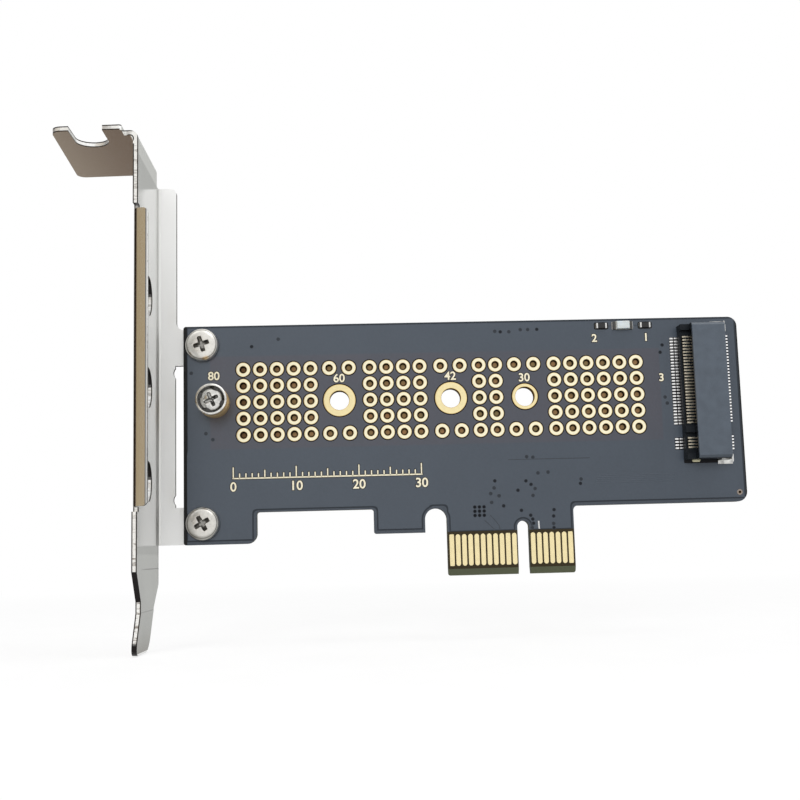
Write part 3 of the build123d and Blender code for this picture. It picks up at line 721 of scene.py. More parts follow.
def bracket_finish(colour):
    """Bright zinc-plated sheet: faint rolling lines and scratches on its faces, and torn bright cut edges.
    Painted shade gives the cut edges dark outlines, darkens them where they face down, draws thin dark
    lines at the folds, the creases and near the lip's edge, and darkens the plate's inner face below the
    tab; painted light makes the flange paler."""
    finish, tree = new_finish("Zinc-plated bracket steel")
    place, x, y, z = place_in_mm(tree)
    normal = facing(tree, "True Normal")
    cut, off, top = cut_edges(tree, x, y, z, normal)
    rolling = place.times((6.0, 6.0, 0.12)).noise(1.0, 2.0)
    cloud = use(tree, "grain", 7.0, 0.13, 0.06)
    lines = use(tree, "scratches", 4.0, 0.07)[0]
    # Painted shade: the plate's inner face below the tab is darkened, most in its lower part.
    below = (normal[0] > 0.5) * z.step(64.8, 64.2)
    lower = z.step(60.0, 15.0) * z.step(4.2, 4.8)
    flange = (x > SIDE_X - 0.05) * (y > 0.4)
    # Painted light: the flange is painted paler than the sheet, palest towards the top.
    pale = z.step(50.0, 8.0).mix((0.99, 0.99, 0.98), (0.97, 0.97, 0.96))
    # Painted shade along the flange's fold, which is also rougher.
    fold_shade = use(tree, "area", x, y, *FLANGE_FOLD, 0.3, 30.0, 0.1)[0]
    on_lip = use(tree, "area", y, z, -30.0, -15.0, *LIP_ENDS, 0.02)[0]
    # Painted shade as thin dark lines at the tongue's creases.
    creases = z.near(UPPER_CREASE, 0.08) * y.step(-15.0, -8.0) | z.near(LOWER_CREASE, 0.08) * 0.5
    faces = painted(
        colour,
        (below * (lower * 0.17 + 0.35), (0.05, 0.05, 0.05)),
        (cloud[0] * 0.3, shade(colour, 0.88)),
        (flange, pale),
        (lines * 0.25, (0.97, 0.97, 0.96)),
        (fold_shade * 0.12, (0.2, 0.2, 0.19)),
        # Painted shade along the lip's fold.
        (x.step(LIP_FOLD, LIP_FOLD - 0.2) * on_lip * 0.85, (0.12, 0.10, 0.07)),
        (creases * 0.8, (0.2, 0.19, 0.19)))
    spread = top.mix(place.times((0.6, 2.6, 2.6)), place.times((0.7, 0.7, 0.5)), "VECTOR")
    torn = spread.noise(1.0, 2.0)
    # Painted shade on cut edges that face down and at the flange's end.
    down = normal[2].step(-0.1, -0.25) * (1.0 - top)
    flange_end_shade = ((normal[0] > 0.3) | (normal[2] > 0.2)) * (x > SIDE_X) * (y > 0.7)
    edges = painted(
        (0.97, 0.97, 0.95),
        (torn.step(0.50, 0.68) * (z.step(8.0, 6.0) * 0.3 + 0.5), (0.18, 0.14, 0.11)),
        # Painted shade as dark outlines along the cut edges.
        (off.step(0.19, 0.27), (0.035, 0.03, 0.025)),
        (down | flange_end_shade, (0.02, 0.018, 0.018)))
    # Painted shade as a thin dark line near the lip's free edge.
    lip_edge_shade = x.near(LIP_LINE, 0.075) * on_lip
    sheet = painted(faces, (cut, edges), (lip_edge_shade * 0.85, (0.05, 0.045, 0.04)))
    relief = rolling * 0.002 + use(tree, "grain", 0.5, 0.13, 0.05)[2] * 0.001 + torn * (cut * 0.05)
    return set_shader(finish, Base_Color=sheet, Metallic=1.0, Normal=relief.bump(0.6, 1.0),
                      Roughness=rolling * 0.05 + cloud[1] + cut * 0.2 + (flange | fold_shade) * 0.32)


def chip_finish(name, body, cap, node, cap_length):
    """Chip part: a body between two metal ends, told apart by the distance from its middle along X."""
    finish, tree = new_finish(name)
    low, high = corners(node)
    inner = (high[0] - low[0]) / 2 - cap_length
    end = abs(place_in_mm(tree)[1] - middle(node)[0]).step(inner - 0.02, inner + 0.01)
    mottle, gloss, height = use(tree, "grain", 0.2, 0.35, 0.2)
    parts = [mottle.mix(shade(colour, 0.8), colour) for colour in (body, cap)]
    return set_shader(finish, Base_Color=end.mix(*parts), Roughness=gloss, Metallic=end,
                      Normal=height.bump(0.5, 0.01))


def dress(node, finish):
    """Gives a carried-over solid its finish."""
    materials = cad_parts[node].data.materials
    if not materials:
        materials.append(finish)
    for slot in range(len(materials)):
        materials[slot] = finish


# Operators: one for each piece or group of like pieces

class CardOperator(bpy.types.Operator):
    """Shared start of the card's operators."""
    bl_options = {"REGISTER", "UNDO"}


class CARD_OT_board(CardOperator):
    """Finish the circuit board: mask, copper relief, margin and cut laminate"""
    bl_idname = "card.board"
    bl_label = "Circuit board"

    def execute(self, context):
        board = context.scene.card_board
        dress("circuit_board", board_finish(board))
        return {"FINISHED"}


def front_traces():
    """Traces on the component side round the lamp, the socket and the edge contacts, as corner points."""
    lamp, _, lamp_z = middle("status_lamp")
    leads = [[(lamp + side * reach, lamp_z) for reach in (1.9, 2.5, 2.7)] for side in (-1, 1)]
    return leads + [
        [(-6.18, 8.6), (-5.4, 7.9), (-4.7, 7.2), (-4.65, CONTACT_TOP)],
        [(-5.2, 9.4), (-4.35, 8.4), (-3.85, 7.7), (-3.7, CONTACT_TOP)],
        [(-2.0, 18.2), (4.0, 18.2), (11.2, 18.2)],
    ]


def back_traces():
    """Traces on the back and their widths: the supply's, and the lanes from the contacts to the socket."""
    supply = [
        ([(-5.3, 10.0), (-3.2, 10.0), (1.0, 14.2), (1.0, 20.0), (26.0, 20.0)], 0.8),
        ([(-9.0, 11.2), (-10.4, 12.6), (-10.9, 13.4)], 1.6),
        ([(-14.9, 15.2), (-17.0, 15.2), (-18.4, 15.2)], 2.2),
        ([(-3.6, 10.9), (-2.6, 11.9), (-2.6, 15.0), (-4.4, 16.0)], 0.3),
    ]
    lanes = [([(x, 6.9), (x, 9.2), (x + 8.6, 17.8), (24.2, 17.8 + 0.6 * (x - 1.5))], 0.22)
             for x in (2.5, 3.5, 5.5)]
    return supply + lanes


def via_places():
    """Places of the vias on the component side and how dark each one is: a cluster of nine under the
    supply parts, and single ones."""
    cluster = [(-7.65 + 0.74 * column, 9.4 + 0.67 * row) for column in range(3) for row in range(3)]
    dark = [
        (-4.29, 14.85), (-3.01, 10.82), (0.72, 14.73), (1.52, 14.15), (-0.62, 13.26), (9.51, 14.11),
        (-0.18, 10.04), (1.28, 9.22), (1.57, 8.60), (1.67, 7.94), (5.06, 10.02), (4.95, 9.01),
        (4.93, 7.15), (-42.9, 37.45), (3.5, 39.4), (-2.5, 39.1), (24.0, 36.4), (23.6, 35.2),
    ]
    faint = [
        (-4.44, 13.73), (-5.02, 12.83), (-3.69, 12.44), (-4.92, 11.41), (2.15, 13.47), (1.77, 12.37),
        (2.72, 15.96), (4.35, 16.05), (9.63, 14.81), (1.45, 7.27), (4.90, 7.83), (-38.6, 38.6),
        (-50.3, 23.5), (-49.2, 22.5), (-52.6, 33.3), (-3.4, 39.2), (-1.1, 39.1), (0.8, 39.4),
        (2.0, 39.4), (24.0, 27.8), (24.3, 26.8), (1.0, 18.6), (2.0, 18.5),
    ]
    return cluster + dark + faint, [1.0] * len(cluster) + [0.85] * len(dark) + [0.45] * len(faint)


class CARD_OT_traces(CardOperator):
    """Add the traces that lift the solder mask and the dark dots of the vias, on both sides"""
    bl_idname = "card.traces"
    bl_label = "Traces and vias"

    def execute(self, context):
        board = context.scene.card_board
        finish = mask_relief_finish(board)
        width, height = board.trace_width / MM, board.trace_height / MM
        fronts = [along(path, width, height, FRONT) for path in front_traces()]
        piece("front_traces", together(*fronts), finish)
        backs = [along(path, wide, height, BACK) for path, wide in back_traces()]
        piece("back_traces", together(*backs), finish)
        places, amounts = via_places()
        points, faces = skin(turned([(0.10, -0.012), (0.22, -0.012), (0.31, -0.006), (0.36, 0.02)], 12))
        dots = [repeated((points * (1, turn, 1), faces), [(x, face, z) for x, z in places])
                for turn, face in ((1, FRONT), (-1, BACK))]
        shades = np.outer(amounts, np.repeat([1.0, 0.9, 0.0, 0.0], 12))
        piece("filled_vias", together(*dots), finish, values=np.tile(shades.ravel(), 2))
        return {"FINISHED"}


def eyelet(hole, rim, plating, sides, wall, plugged):
    """Plated hole: its profile of radius and depth goes out of the hole over the front ring and the groove
    round it, through the laminate and back over the rear ring, turned about the hole's axis. A plugged hole
    starts and ends at its fill, an open one closes on itself. The value of each profile point says how
    bright it is: low down the hole and towards the fill's edge as painted shade, and 0 in the groove, which
    is partly the mask opening's dark edge and partly painted shade."""
    # Painted shade: the brightness falls down the hole, in the groove and towards the fill's edge.
    deep = 0.0 if plugged else 0.2
    lip = [
        (hole, 0.26, deep), (hole + 0.01, 0.0, 0.2), (hole + 0.04, -plating, 0.7), (hole + 0.16, -plating, 1),
        (rim - 0.16, -plating, 1), (rim - 0.03, 0.005 - plating, 0.7), (rim + 0.01, -0.010, 0),
        (rim + 0.15, -0.006, 0), (rim + 0.16, 0.02, 0), (wall, 0.05, 0),
    ]
    front = [(0.15, 0.50, -1), (hole - 0.21, 0.49, -0.6), (hole - 0.07, 0.42, -0.3)] if plugged else []
    rear = [(hole - 0.13, 0.28, -1), (hole - 0.04, 0.27, 0)] if plugged else []
    profile = [(radius, FRONT + depth, bright) for radius, depth, bright in front + lip]
    profile += [(radius, BACK - depth, bright) for radius, depth, bright in reversed(rear + lip)]
    rings = turned([(radius, depth) for radius, depth, bright in profile], sides)
    return skin(rings, closed=not plugged), np.repeat([bright for radius, depth, bright in profile], sides)


def small_hole_places():
    """Places of the small plated holes: full columns between the module holes and past the last one, and
    pairs beside each open module hole, from the pitches and the module holes' own places."""
    pitch_x, pitch_z, pair = 2.7, 2.65, 3.15
    heights = HOLE_60[1] + pitch_z * (np.arange(5) - 2)
    stations = [STANDOFF[0], HOLE_60[0], HOLE_42[0], HOLE_30[0]]
    columns = [HOLE_30[0] + 4.9 + pitch_x * np.arange(6)]
    for left, right, count in zip(stations, stations[1:], (5, 4, 2)):
        columns.append((left + right) / 2 + pitch_x * (np.arange(count) - (count - 1) / 2))
    x, z = (axis.ravel() for axis in np.meshgrid(np.concatenate(columns), heights, indexing="ij"))
    pairs = [(hole + side * pair / 2, heights[row])
             for hole in stations[1:] for side in (-1, 1) for row in (0, -1)]
    return np.concatenate([np.stack([x, 0 * x, z], -1), np.insert(np.array(pairs), 1, 0, axis=1)])


class CARD_OT_small_holes(CardOperator):
    """Add the plated ring and barrel of every small hole"""
    bl_idname = "card.small_holes"
    bl_label = "Small plated holes"

    def execute(self, context):
        plating = context.scene.card_plating
        shape, bright = eyelet(plating.small_barrel_radius / MM, plating.small_ring_radius / MM,
                               plating.plating / MM, plating.ring_sides, 0.66, True)
        places = small_hole_places()
        barrel = plating.barrel_colour
        finish = ring_finish("Bright gold rings", plating.gold_colour, barrel, plating.plug_colour)
        values = np.tile(bright, len(places))
        piece("small_hole_plating", repeated(shape, places), finish, values=values)
        profile = [(0.03, -0.006), (0.17, -0.006), (0.22, -0.02), (0.27, -0.03), (0.46, -0.03), (0.50, 0.02)]
        copper = ring_finish("Bare copper ring", plating.copper_colour, barrel, OPEN_FILL)
        ring = repeated(skin(turned(profile, 20)), [CORNER_VIA])
        # Painted shade: the black middle stands for the shaded hole; the dark outer edge is partly the mask's
        # edge and partly painted shade.
        piece("corner_via", ring, copper, values=np.repeat([0, 0, 0.4, 1, 1, 0], 20))
        return {"FINISHED"}


class CARD_OT_module_holes(CardOperator):
    """Replace the three flat rings by plated module holes"""
    bl_idname = "card.module_holes"
    bl_label = "Module holes"

    def execute(self, context):
        plating = context.scene.card_plating
        finish = ring_finish("Worn gold rings", plating.worn_colour, plating.barrel_colour, OPEN_FILL)
        for size, (x, z) in ((60, HOLE_60), (42, HOLE_42), (30, HOLE_30)):
            node = f"module_hole_ring_{size}"
            low, high = corners(node)
            shape, bright = eyelet(1.56, (high[0] - low[0]) / 2, plating.plating / MM, 48, 1.66, False)
            name = f"module_hole_plating_{size}"
            piece(name, repeated(shape, [(x, 0, z)]), finish, [node], values=bright)
        return {"FINISHED"}


class CARD_OT_edge_contacts(CardOperator):
    """Replace the edge contacts by pads with round ends, square where the row starts, breaks and ends"""
    bl_idname = "card.edge_contacts"
    bl_label = "Edge contacts"

    def execute(self, context):
        plating = context.scene.card_plating
        finish = metal_finish("Gold edge contacts", plating.contact_colour, 0.26, grain=0.9, scratches=0.2,
                              relief=0.0005, tone=0.93)
        low, high = corners("edge_contacts_front")
        start, end, last = low[0] + 0.37, high[0] - 0.37, CONTACTS - 1
        index = np.arange(CONTACTS)
        x = np.where(index < CONTACTS_BEFORE_KEY, start + index, end - (last - index))
        height, centre = high[2] - low[2], (high[2] + low[2]) / 2
        square = np.isin(index, (0, 9, last))
        lift = plating.plating / MM
        for side, face in (("front", FRONT), ("back", BACK)):
            rounded = raised(stadium_outline(CONTACT_WIDTH, height, 16), face, lift, 0.02)
            squared = pad(CONTACT_WIDTH, height, 14, 24, lift, 0.02, face)
            shapes = [repeated(shape, [(place, 0, centre) for place in x[chosen]])
                      for shape, chosen in ((rounded, ~square), (squared, square))]
            piece(f"edge_contact_pads_{side}", together(*shapes), finish, [f"edge_contacts_{side}"])
        return {"FINISHED"}


class CARD_OT_bracket(CardOperator):
    """Finish the bracket's zinc-plated sheet"""
    bl_idname = "card.bracket"
    bl_label = "Bracket"

    def execute(self, context):
        hardware = context.scene.card_hardware
        dress("bracket", bracket_finish(hardware.steel_colour))
        return {"FINISHED"}


def cross_depth(x, z, width, reach, depth):
    """Depth of a cross recess: each arm is 1 on its middle line, falls off past half its width with sloping
    walls, and gets shallower along its length as 1 - (u / reach) squared; the deeper arm counts."""
    arms = []
    for u, v in ((x, z), (z, x)):
        across = np.clip((width / 2 + 0.09 - np.abs(v)) / 0.18, 0, 1)
        along_arm = np.clip(1.15 - (np.abs(u) / reach) ** 2, 0, 1) * np.clip((reach - np.abs(u)) / 0.12, 0, 1)
        arms.append(across * (3 - 2 * across) * across * along_arm)
    return depth * np.maximum(*arms)


def recessed_head(profile, sides, degrees, recess):
    """Screw head: rings of the profile (radius, height, brightness) about the head's axis, lowered by the
    cross recess, and the brightness of each point, which falls in the recess as painted shade."""
    angle, turn = around(sides), math.radians(degrees)
    radius, height, bright = np.asarray(profile, float).T[:, :, None]
    x, z = radius * np.cos(angle), radius * np.sin(angle)
    cos, sin = math.cos(turn), math.sin(turn)
    cut = cross_depth(x * cos + z * sin, z * cos - x * sin, *recess)
    # Painted shade: darker the deeper the recess, down to 0.42 of the brightness.
    shades = bright * np.clip(1 - 1.3 * cut / recess[2], 0.42, 1)
    return skin(np.stack([x, -(height + 0 * x - cut), z], -1)), shades.ravel()


def threaded_shank(radius, pitch, depth, start, end, sides):
    """Screw thread: the radius at angle a and distance s is R - depth |2 frac(s / pitch - a / 2 pi) - 1|."""
    rows = int((end - start) / pitch * 8)
    s = np.linspace(start, end, rows)[:, None]
    angle = around(sides)
    phase = (s / pitch - angle / (2 * np.pi)) % 1
    ridge = radius - depth * np.abs(2 * phase - 1)
    ridge = np.where(s > end - 0.3, ridge - (s - end + 0.3) * 0.8, ridge)
    return skin(np.stack([ridge * np.cos(angle), s + 0 * angle, ridge * np.sin(angle)], -1))


def dressed_screw(name, head, shank, finish):
    """Makes a head, with the brightness of its points, and its shank the piece that replaces a screw."""
    surface, shades = head
    x, z = middle(name)[[0, 2]]
    values = np.concatenate([shades, np.ones(len(shank[0]))])
    whole = repeated(together(surface, shank), [(x, FRONT, z)])
    piece(name + "_dressed", whole, finish, [name], 32, values)


class CARD_OT_bracket_screws(CardOperator):
    """Replace the bracket's screws by pan heads with a cross recess and threaded shanks"""
    bl_idname = "card.bracket_screws"
    bl_label = "Bracket screws"

    def execute(self, context):
        hardware = context.scene.card_hardware
        finish = metal_finish("Nickel-plated screws", hardware.nickel_colour, 0.30, grain=0.5, scratches=0.9,
                              shaded=True)
        recess = (hardware.recess_width / MM, 1.3, hardware.recess_depth / MM)
        # The last number scales the head's brightness: the lower screw's head is painted darker as shade.
        for name, degrees, light in (("bracket_screw_upper", 17, 1.0), ("bracket_screw_lower", 30, 0.88)):
            low, high = corners(name)
            radius, top = (high[0] - low[0]) / 2, FRONT - low[1]
            steps = np.concatenate([np.linspace(0.03, 1.75, 32), np.linspace(1.8, radius, 22)])
            # Painted shade: the head is darker in the groove near its rim and on its underside.
            groove = np.exp(-((steps / radius - 0.885) / 0.022) ** 2)
            crown = 0.62 + (top - 0.62) * (1 - np.clip(steps / radius, 0, 1) ** 4.2) ** 0.55 - 0.05 * groove
            under = [(radius, 0.3, 0.7), (radius - 0.08, 0.06, 0.1), (radius - 0.16, 0, 0)]
            profile = [*zip(steps, crown, (1 - 0.75 * groove) * light), *under]
            head = recessed_head(profile, 144, degrees, recess)
            shank = threaded_shank(1.5, hardware.thread_pitch / MM, 0.22, -0.3, high[1] - FRONT, 32)
            dressed_screw(name, head, shank, finish)
        return {"FINISHED"}


class CARD_OT_standoff(CardOperator):
    """Finish the brass standoff and nut, and replace the small screw by a rimmed head with a domed middle"""
    bl_idname = "card.standoff"
    bl_label = "Standoff and small screw"

    def execute(self, context):
        hardware = context.scene.card_hardware
        brass = metal_finish("Turned brass", hardware.brass_colour, 0.42, grain=0.3)
        dress("m2_standoff", brass)
        dress("m2_standoff_nut", brass)
        finish = metal_finish("Bright small screw", hardware.small_screw_colour, 0.22, grain=0.9, tone=0.6,
                              shaded=True)
        low, high = corners("m2_screw")
        radius, top = (high[0] - low[0]) / 2, FRONT - low[1]
        seat_height = FRONT - corners("m2_standoff")[0][1]
        # The third number is brightness: painted shade darkens the groove round the dome and the underside.
        rim = [
            (radius - 0.62, top - 0.72, 0.05), (radius - 0.52, top - 0.80, 0.0),
            (radius - 0.40, top - 0.62, 0.1), (radius - 0.34, top - 0.10, 0.9), (radius - 0.27, top, 1),
            (radius - 0.12, top - 0.02, 1), (radius, top - 0.14, 0.9), (radius, top - 0.32, 0.5),
            (radius - 0.03, top - 0.36, 0), (0.5, top - 0.38, 0),
        ]
        # Painted shade: the dome darkens towards its edge.
        steps = np.linspace(0.03, radius - 0.70, 26)
        fall = (steps / steps[-1]) ** 3
        dome = zip(steps, top - 0.12 - 0.42 * fall, 1 - 0.35 * fall)
        head = recessed_head([*dome, *rim], 120, 25, (0.44, 1.2, 0.75))
        shank = threaded_shank(0.98, 0.4, 0.14, -seat_height - 0.05, high[1] - FRONT, 24)
        dressed_screw("m2_screw", head, shank, finish)
        outside, inside, start = radius - 0.02, radius - 0.26, 0.34 - top
        collar = [(inside, start), (outside, start), (outside, -seat_height), (inside, -seat_height)]
        ring = repeated(skin(turned(collar, 64), closed=True), [(STANDOFF[0], FRONT, STANDOFF[1])])
        piece("m2_screw_collar", ring, brass, ["m2_screw"])
        return {"FINISHED"}


def solder_fillet(width, height, reach):
    """Fillet of solder at a part's end, out along +X: height falls as h (1 - u) to the power 2.2 and the
    width narrows a little as it runs out; u goes outwards and v across."""
    u, v = np.meshgrid(np.linspace(0, 1, 6), np.linspace(-1, 1, 7), indexing="ij")
    rise = height * (1 - u) ** 2.2 * (1 - 0.25 * v ** 4)
    x = u * reach * (1 - 0.12 * v ** 4) - 0.02
    z = v * width / 2 * (1.04 - 0.14 * u ** 2)
    flat = np.stack([x, 0.03 + 0 * x, z], -1)
    return pillow(np.stack([x, -rise - 0.01, z], -1), flat)


def fillets_at(node, face, reach, height):
    """Solder at both ends of a chip part that lies along X on a face of the board."""
    low, high = corners(node)
    points, faces = solder_fillet(high[2] - low[2], height, reach)
    ends = [repeated((points * (side, -np.sign(face), 1), faces), [(x, face, (low[2] + high[2]) / 2)])
            for x, side in ((low[0], -1), (high[0], 1))]
    return together(*ends)


def solder_finish(name, tin, roughness=0.28):
    """Smooth tin with a soft relief."""
    return metal_finish(name, tin, roughness, grain=0.2, relief=0.01)


def contact_rows(node):
    """Z of each contact in one row of the socket, from the faces of its solid: the middles of the runs of
    heights that its points fall in."""
    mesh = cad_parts[node].data
    points = np.zeros(len(mesh.vertices) * 3, np.float32)
    mesh.vertices.foreach_get("co", points)
    levels = np.unique(np.round(points[2::3] / MM, 2))
    return (levels[0::2] + levels[1::2]) / 2


def housing_finish(colour):
    """Moulded plastic: the cover's top as it is, and the lower parts painted much darker and less glossy as
    the cover's shade.
    """
    finish = moulded_finish("Moulded socket plastic", colour, 0.42)
    cover = corners("socket_housing")[0][1]
    # Painted shade: parts lower than the cover are much darker and less glossy.
    low = place_in_mm(finish.node_tree)[2].step(cover + 0.25, cover + 0.6)
    shaded = low.mix(base_colour(finish), shade(colour, 0.13))
    return set_shader(finish, Base_Color=shaded, Specular_IOR_Level=low * -0.35 + 0.5)


def slot_contact_finish(node, gold):
    """Contacts: bright tin on the tails, a dark band of painted shade where each tail bends up, and gold in
    the slot.
    """
    finish = metal_finish("Gold and tin " + node, gold, 0.36, grain=0.3)
    x = place_in_mm(finish.node_tree)[1]
    tail = x.step(LOWER_TAILS + 0.05, LOWER_TAILS) + x.step(UPPER_TAILS, UPPER_TAILS + 0.1)
    # Painted shade: a dark band at each tail's bend.
    dark = x.near(TAIL_BENDS[0], 0.08) | x.near(TAIL_BENDS[1], 0.22)
    colour = painted(base_colour(finish), (tail, (0.98, 0.98, 0.98)), (dark, (0.02, 0.02, 0.02)))
    return set_shader(finish, Base_Color=colour)


class CARD_OT_socket(CardOperator):
    """Finish the socket, its contacts and tabs, and add the solder on their tails"""
    bl_idname = "card.socket"
    bl_label = "M.2 socket"

    def execute(self, context):
        socket = context.scene.card_socket
        dress("socket_housing", housing_finish(socket.plastic_colour))
        tinned = metal_finish("Tinned tabs", socket.tin_colour, 0.34, grain=0.8, tone=0.4)
        lands, shade_strips = [], []
        for row, side, width, reach in (("lower", -1, 0.62, 0.05), ("upper", 1, 0.6, 0.06)):
            node = f"socket_{row}_contacts"
            dress(node, slot_contact_finish(node, socket.contact_colour))
            low, high = corners(node)
            end = low[0] if side < 0 else high[0]
            points, faces = solder_fillet(0.25, 0.17, reach)
            toe = points * (side, 1, 1), faces
            heights = contact_rows(node)
            land_x = end + side * 0.03 - side * width / 2
            lands.append(repeated(pad(width, 0.27, 8, 12, 0.05, 0.01), [(land_x, 0, z) for z in heights]))
            for z in np.split(heights, np.nonzero(np.diff(heights) > 0.8)[0] + 1):
                # Painted shade: black strips under the edge of the socket, along each run of contacts.
                strip = pad(1.5, z[-1] - z[0] + 0.5, 20, 24, 0.02, 0.005)
                shade_strips.append(repeated(strip, [(end - side * 0.70, 0, (z[0] + z[-1]) / 2)]))
            lands.append(repeated(toe, [(end, FRONT, z) for z in heights]))
        for row, side in (("upper", 1), ("lower", -1)):
            node = f"socket_hold_down_{row}"
            dress(node, tinned)
            x, z = middle(node)[[0, 2]]
            lands.append(repeated(pad(2.9, 1.5, 8, 24, 0.04, 0.01), [(x, 0, z + side * 0.1)]))
        piece("socket_solder", together(*lands), solder_finish("Solder", socket.tin_colour, 0.3))
        # Painted shade: a black pad under the socket's end, joined with the black strips.
        black = moulded_finish("Painted shade under the socket", (0.010, 0.010, 0.012), 0.6, specular=0.2)
        foot = repeated(pad(5.6, 0.95, 10, 24, 0.05, 0.01), [SOCKET_END_SHADE])
        piece("socket_painted_shade", together(foot, *shade_strips), black)
        # A small pale gold oval at the peg hole.
        oval = raised(stadium_outline(0.5, 1.3, 20)[:, ::-1], FRONT, 0.08, 0.02)
        gold = metal_finish("Peg hole oval", (0.70, 0.66, 0.45), 0.3)
        piece("peg_hole_oval", repeated(oval, [PEG_HOLE]), gold)
        return {"FINISHED"}


def soft_block(low, high, squareness, rows=15):
    """Block with rounded edges, standing off the board towards the viewer: over the plan from -1 to 1 in u
    and v its height is H ((1 - |u|^n)(1 - |v|^n))^(1/n)."""
    line = np.sin(np.linspace(-1, 1, rows) * np.pi / 2)
    u, v = np.meshgrid(line, line, indexing="ij")
    rise = ((1 - np.abs(u) ** squareness) * (1 - np.abs(v) ** squareness)) ** (1 / squareness)
    x = (low[0] + high[0]) / 2 + u * (high[0] - low[0]) / 2
    z = (low[2] + high[2]) / 2 + v * (high[2] - low[2]) / 2
    top = np.stack([x, high[1] + (low[1] - high[1]) * rise, z], -1)
    return pillow(top, np.stack([x, high[1] + 0.01 + 0 * x, z], -1))


class CARD_OT_lamp(CardOperator):
    """Replace the lamp by its base, end caps and lens, and finish and solder its resistors"""
    bl_idname = "card.lamp"
    bl_label = "Lamp and resistors"

    def execute(self, context):
        socket = context.scene.card_socket
        tin, reach = socket.tin_colour, socket.solder_reach / MM
        low, high = corners("status_lamp")
        base_top = FRONT - 0.42
        lens = moulded_finish("Lamp lens", (0.86, 0.88, 0.86), 0.18, grain=0.5, tone=0.93)
        set_shader(lens, Subsurface_Weight=0.2)
        base = chip_finish("Lamp base", (0.55, 0.55, 0.50), (0.10, 0.10, 0.095), "status_lamp", 0.45)
        foot = soft_block((low[0], base_top, low[2]), (high[0], FRONT, high[2]), 16)
        piece("lamp_base", foot, base, ["status_lamp"])
        dome = soft_block(low + (0.55, 0, 0.03), (high[0] - 0.55, base_top, high[2] - 0.03), 9, 23)
        piece("lamp_lens", dome, lens, ["status_lamp"])
        joints, borders = [fillets_at("status_lamp", FRONT, reach, 0.3)], []
        for number in (1, 2):
            node = f"lamp_resistor_{number}"
            dress(node, chip_finish(f"Resistor {number}", (0.012, 0.012, 0.013), tin, node, 0.24))
            joints.append(fillets_at(node, FRONT, reach, 0.33))
            borders.append(repeated(pad(2.35, 1.2, 6, 24, 0.02, 0.005), [middle(node) * (1, 0, 1)]))
        piece("lamp_solder", together(*joints), solder_finish("Lamp solder", tin))
        black = moulded_finish("Border round the resistors", (0.012, 0.012, 0.013), 0.5, specular=0.2)
        piece("lamp_border_print", together(*borders), black)
        return {"FINISHED"}


class CARD_OT_supply(CardOperator):
    """Finish and solder the supply parts on the back: regulator, inductor, capacitors and resistors"""
    bl_idname = "card.supply"
    bl_label = "Parts on the back"

    def execute(self, context):
        socket = context.scene.card_socket
        tin, reach = socket.tin_colour, socket.solder_reach / MM
        dress("voltage_regulator", moulded_finish("Package black", (0.016, 0.016, 0.017), 0.45))
        ferrite = moulded_finish("Inductor ferrite", (0.055, 0.053, 0.050), 0.6, grain=0.25, tone=0.6)
        dress("power_inductor", ferrite)
        capacitor = ("Ceramic ", (0.42, 0.30, 0.18), 0.5, 1.5, 0.9)
        resistor = ("Resistive ", (0.018, 0.018, 0.02), 0.22, 0.8, 0.26)
        joints = []
        for node, (title, body, cap_length, runs, height) in (
                ("input_capacitor", capacitor), ("output_capacitor_1", capacitor),
                ("output_capacitor_2", capacitor), ("divider_resistor_1", resistor),
                ("divider_resistor_2", resistor)):
            dress(node, chip_finish(title + node, body, tin, node, cap_length))
            joints.append(fillets_at(node, BACK, reach * runs, height))
        joints.append(fillets_at("power_inductor", BACK, reach * 2, 0.5))
        low, high = corners("voltage_regulator")
        toes = [(x, 0, (low[2] + high[2]) / 2 + 0.65 * step) for x in (low[0] - 0.1, high[0] + 0.1)
                for step in (-1.5, -0.5, 0.5, 1.5)]
        joints.append(repeated(pad(0.5, 0.26, 8, 12, 0.05, 0.01, BACK), toes))
        piece("supply_solder", together(*joints), solder_finish("Supply solder", tin))
        return {"FINISHED"}


def number_mesh(text, height, thickness, grow):
    """Flat number in the board's plane, its outline moved out by a length, as a mesh not yet placed."""
    curve = bpy.data.curves.new("number", "FONT")
    curve.body = text
    curve.align_x = curve.align_y = "CENTER"
    curve.size = height * 1.4
    curve.extrude = thickness / 2
    curve.offset = grow + 0.04 * MM
    curve.resolution_u = 4
    holder = linked("number", curve)
    bpy.context.view_layer.update()
    mesh = bpy.data.meshes.new_from_object(holder.evaluated_get(bpy.context.evaluated_depsgraph_get()))
    bpy.data.objects.remove(holder)
    mesh.transform(Matrix.Rotation(math.pi / 2, 4, "X"))
    return mesh


def print_numbers(name, labels, height, thickness, grow, finish):
    """Numbers as one piece on the board's front; the lengths are in metres."""
    joined = bmesh.new()
    for text, (x, z), size in labels:
        mesh = number_mesh(text, height * size, thickness, grow)
        mesh.transform(Matrix.Translation((x * MM, FRONT * MM - thickness / 2, z * MM)))
        joined.from_mesh(mesh)
        bpy.data.meshes.remove(mesh)
    bmesh.ops.remove_doubles(joined, verts=joined.verts, dist=1e-7)
    bmesh.ops.recalc_face_normals(joined, faces=joined.faces)
    mesh = bpy.data.meshes.new(name)
    joined.to_mesh(mesh)
    joined.free()
    seat(name, mesh, finish)


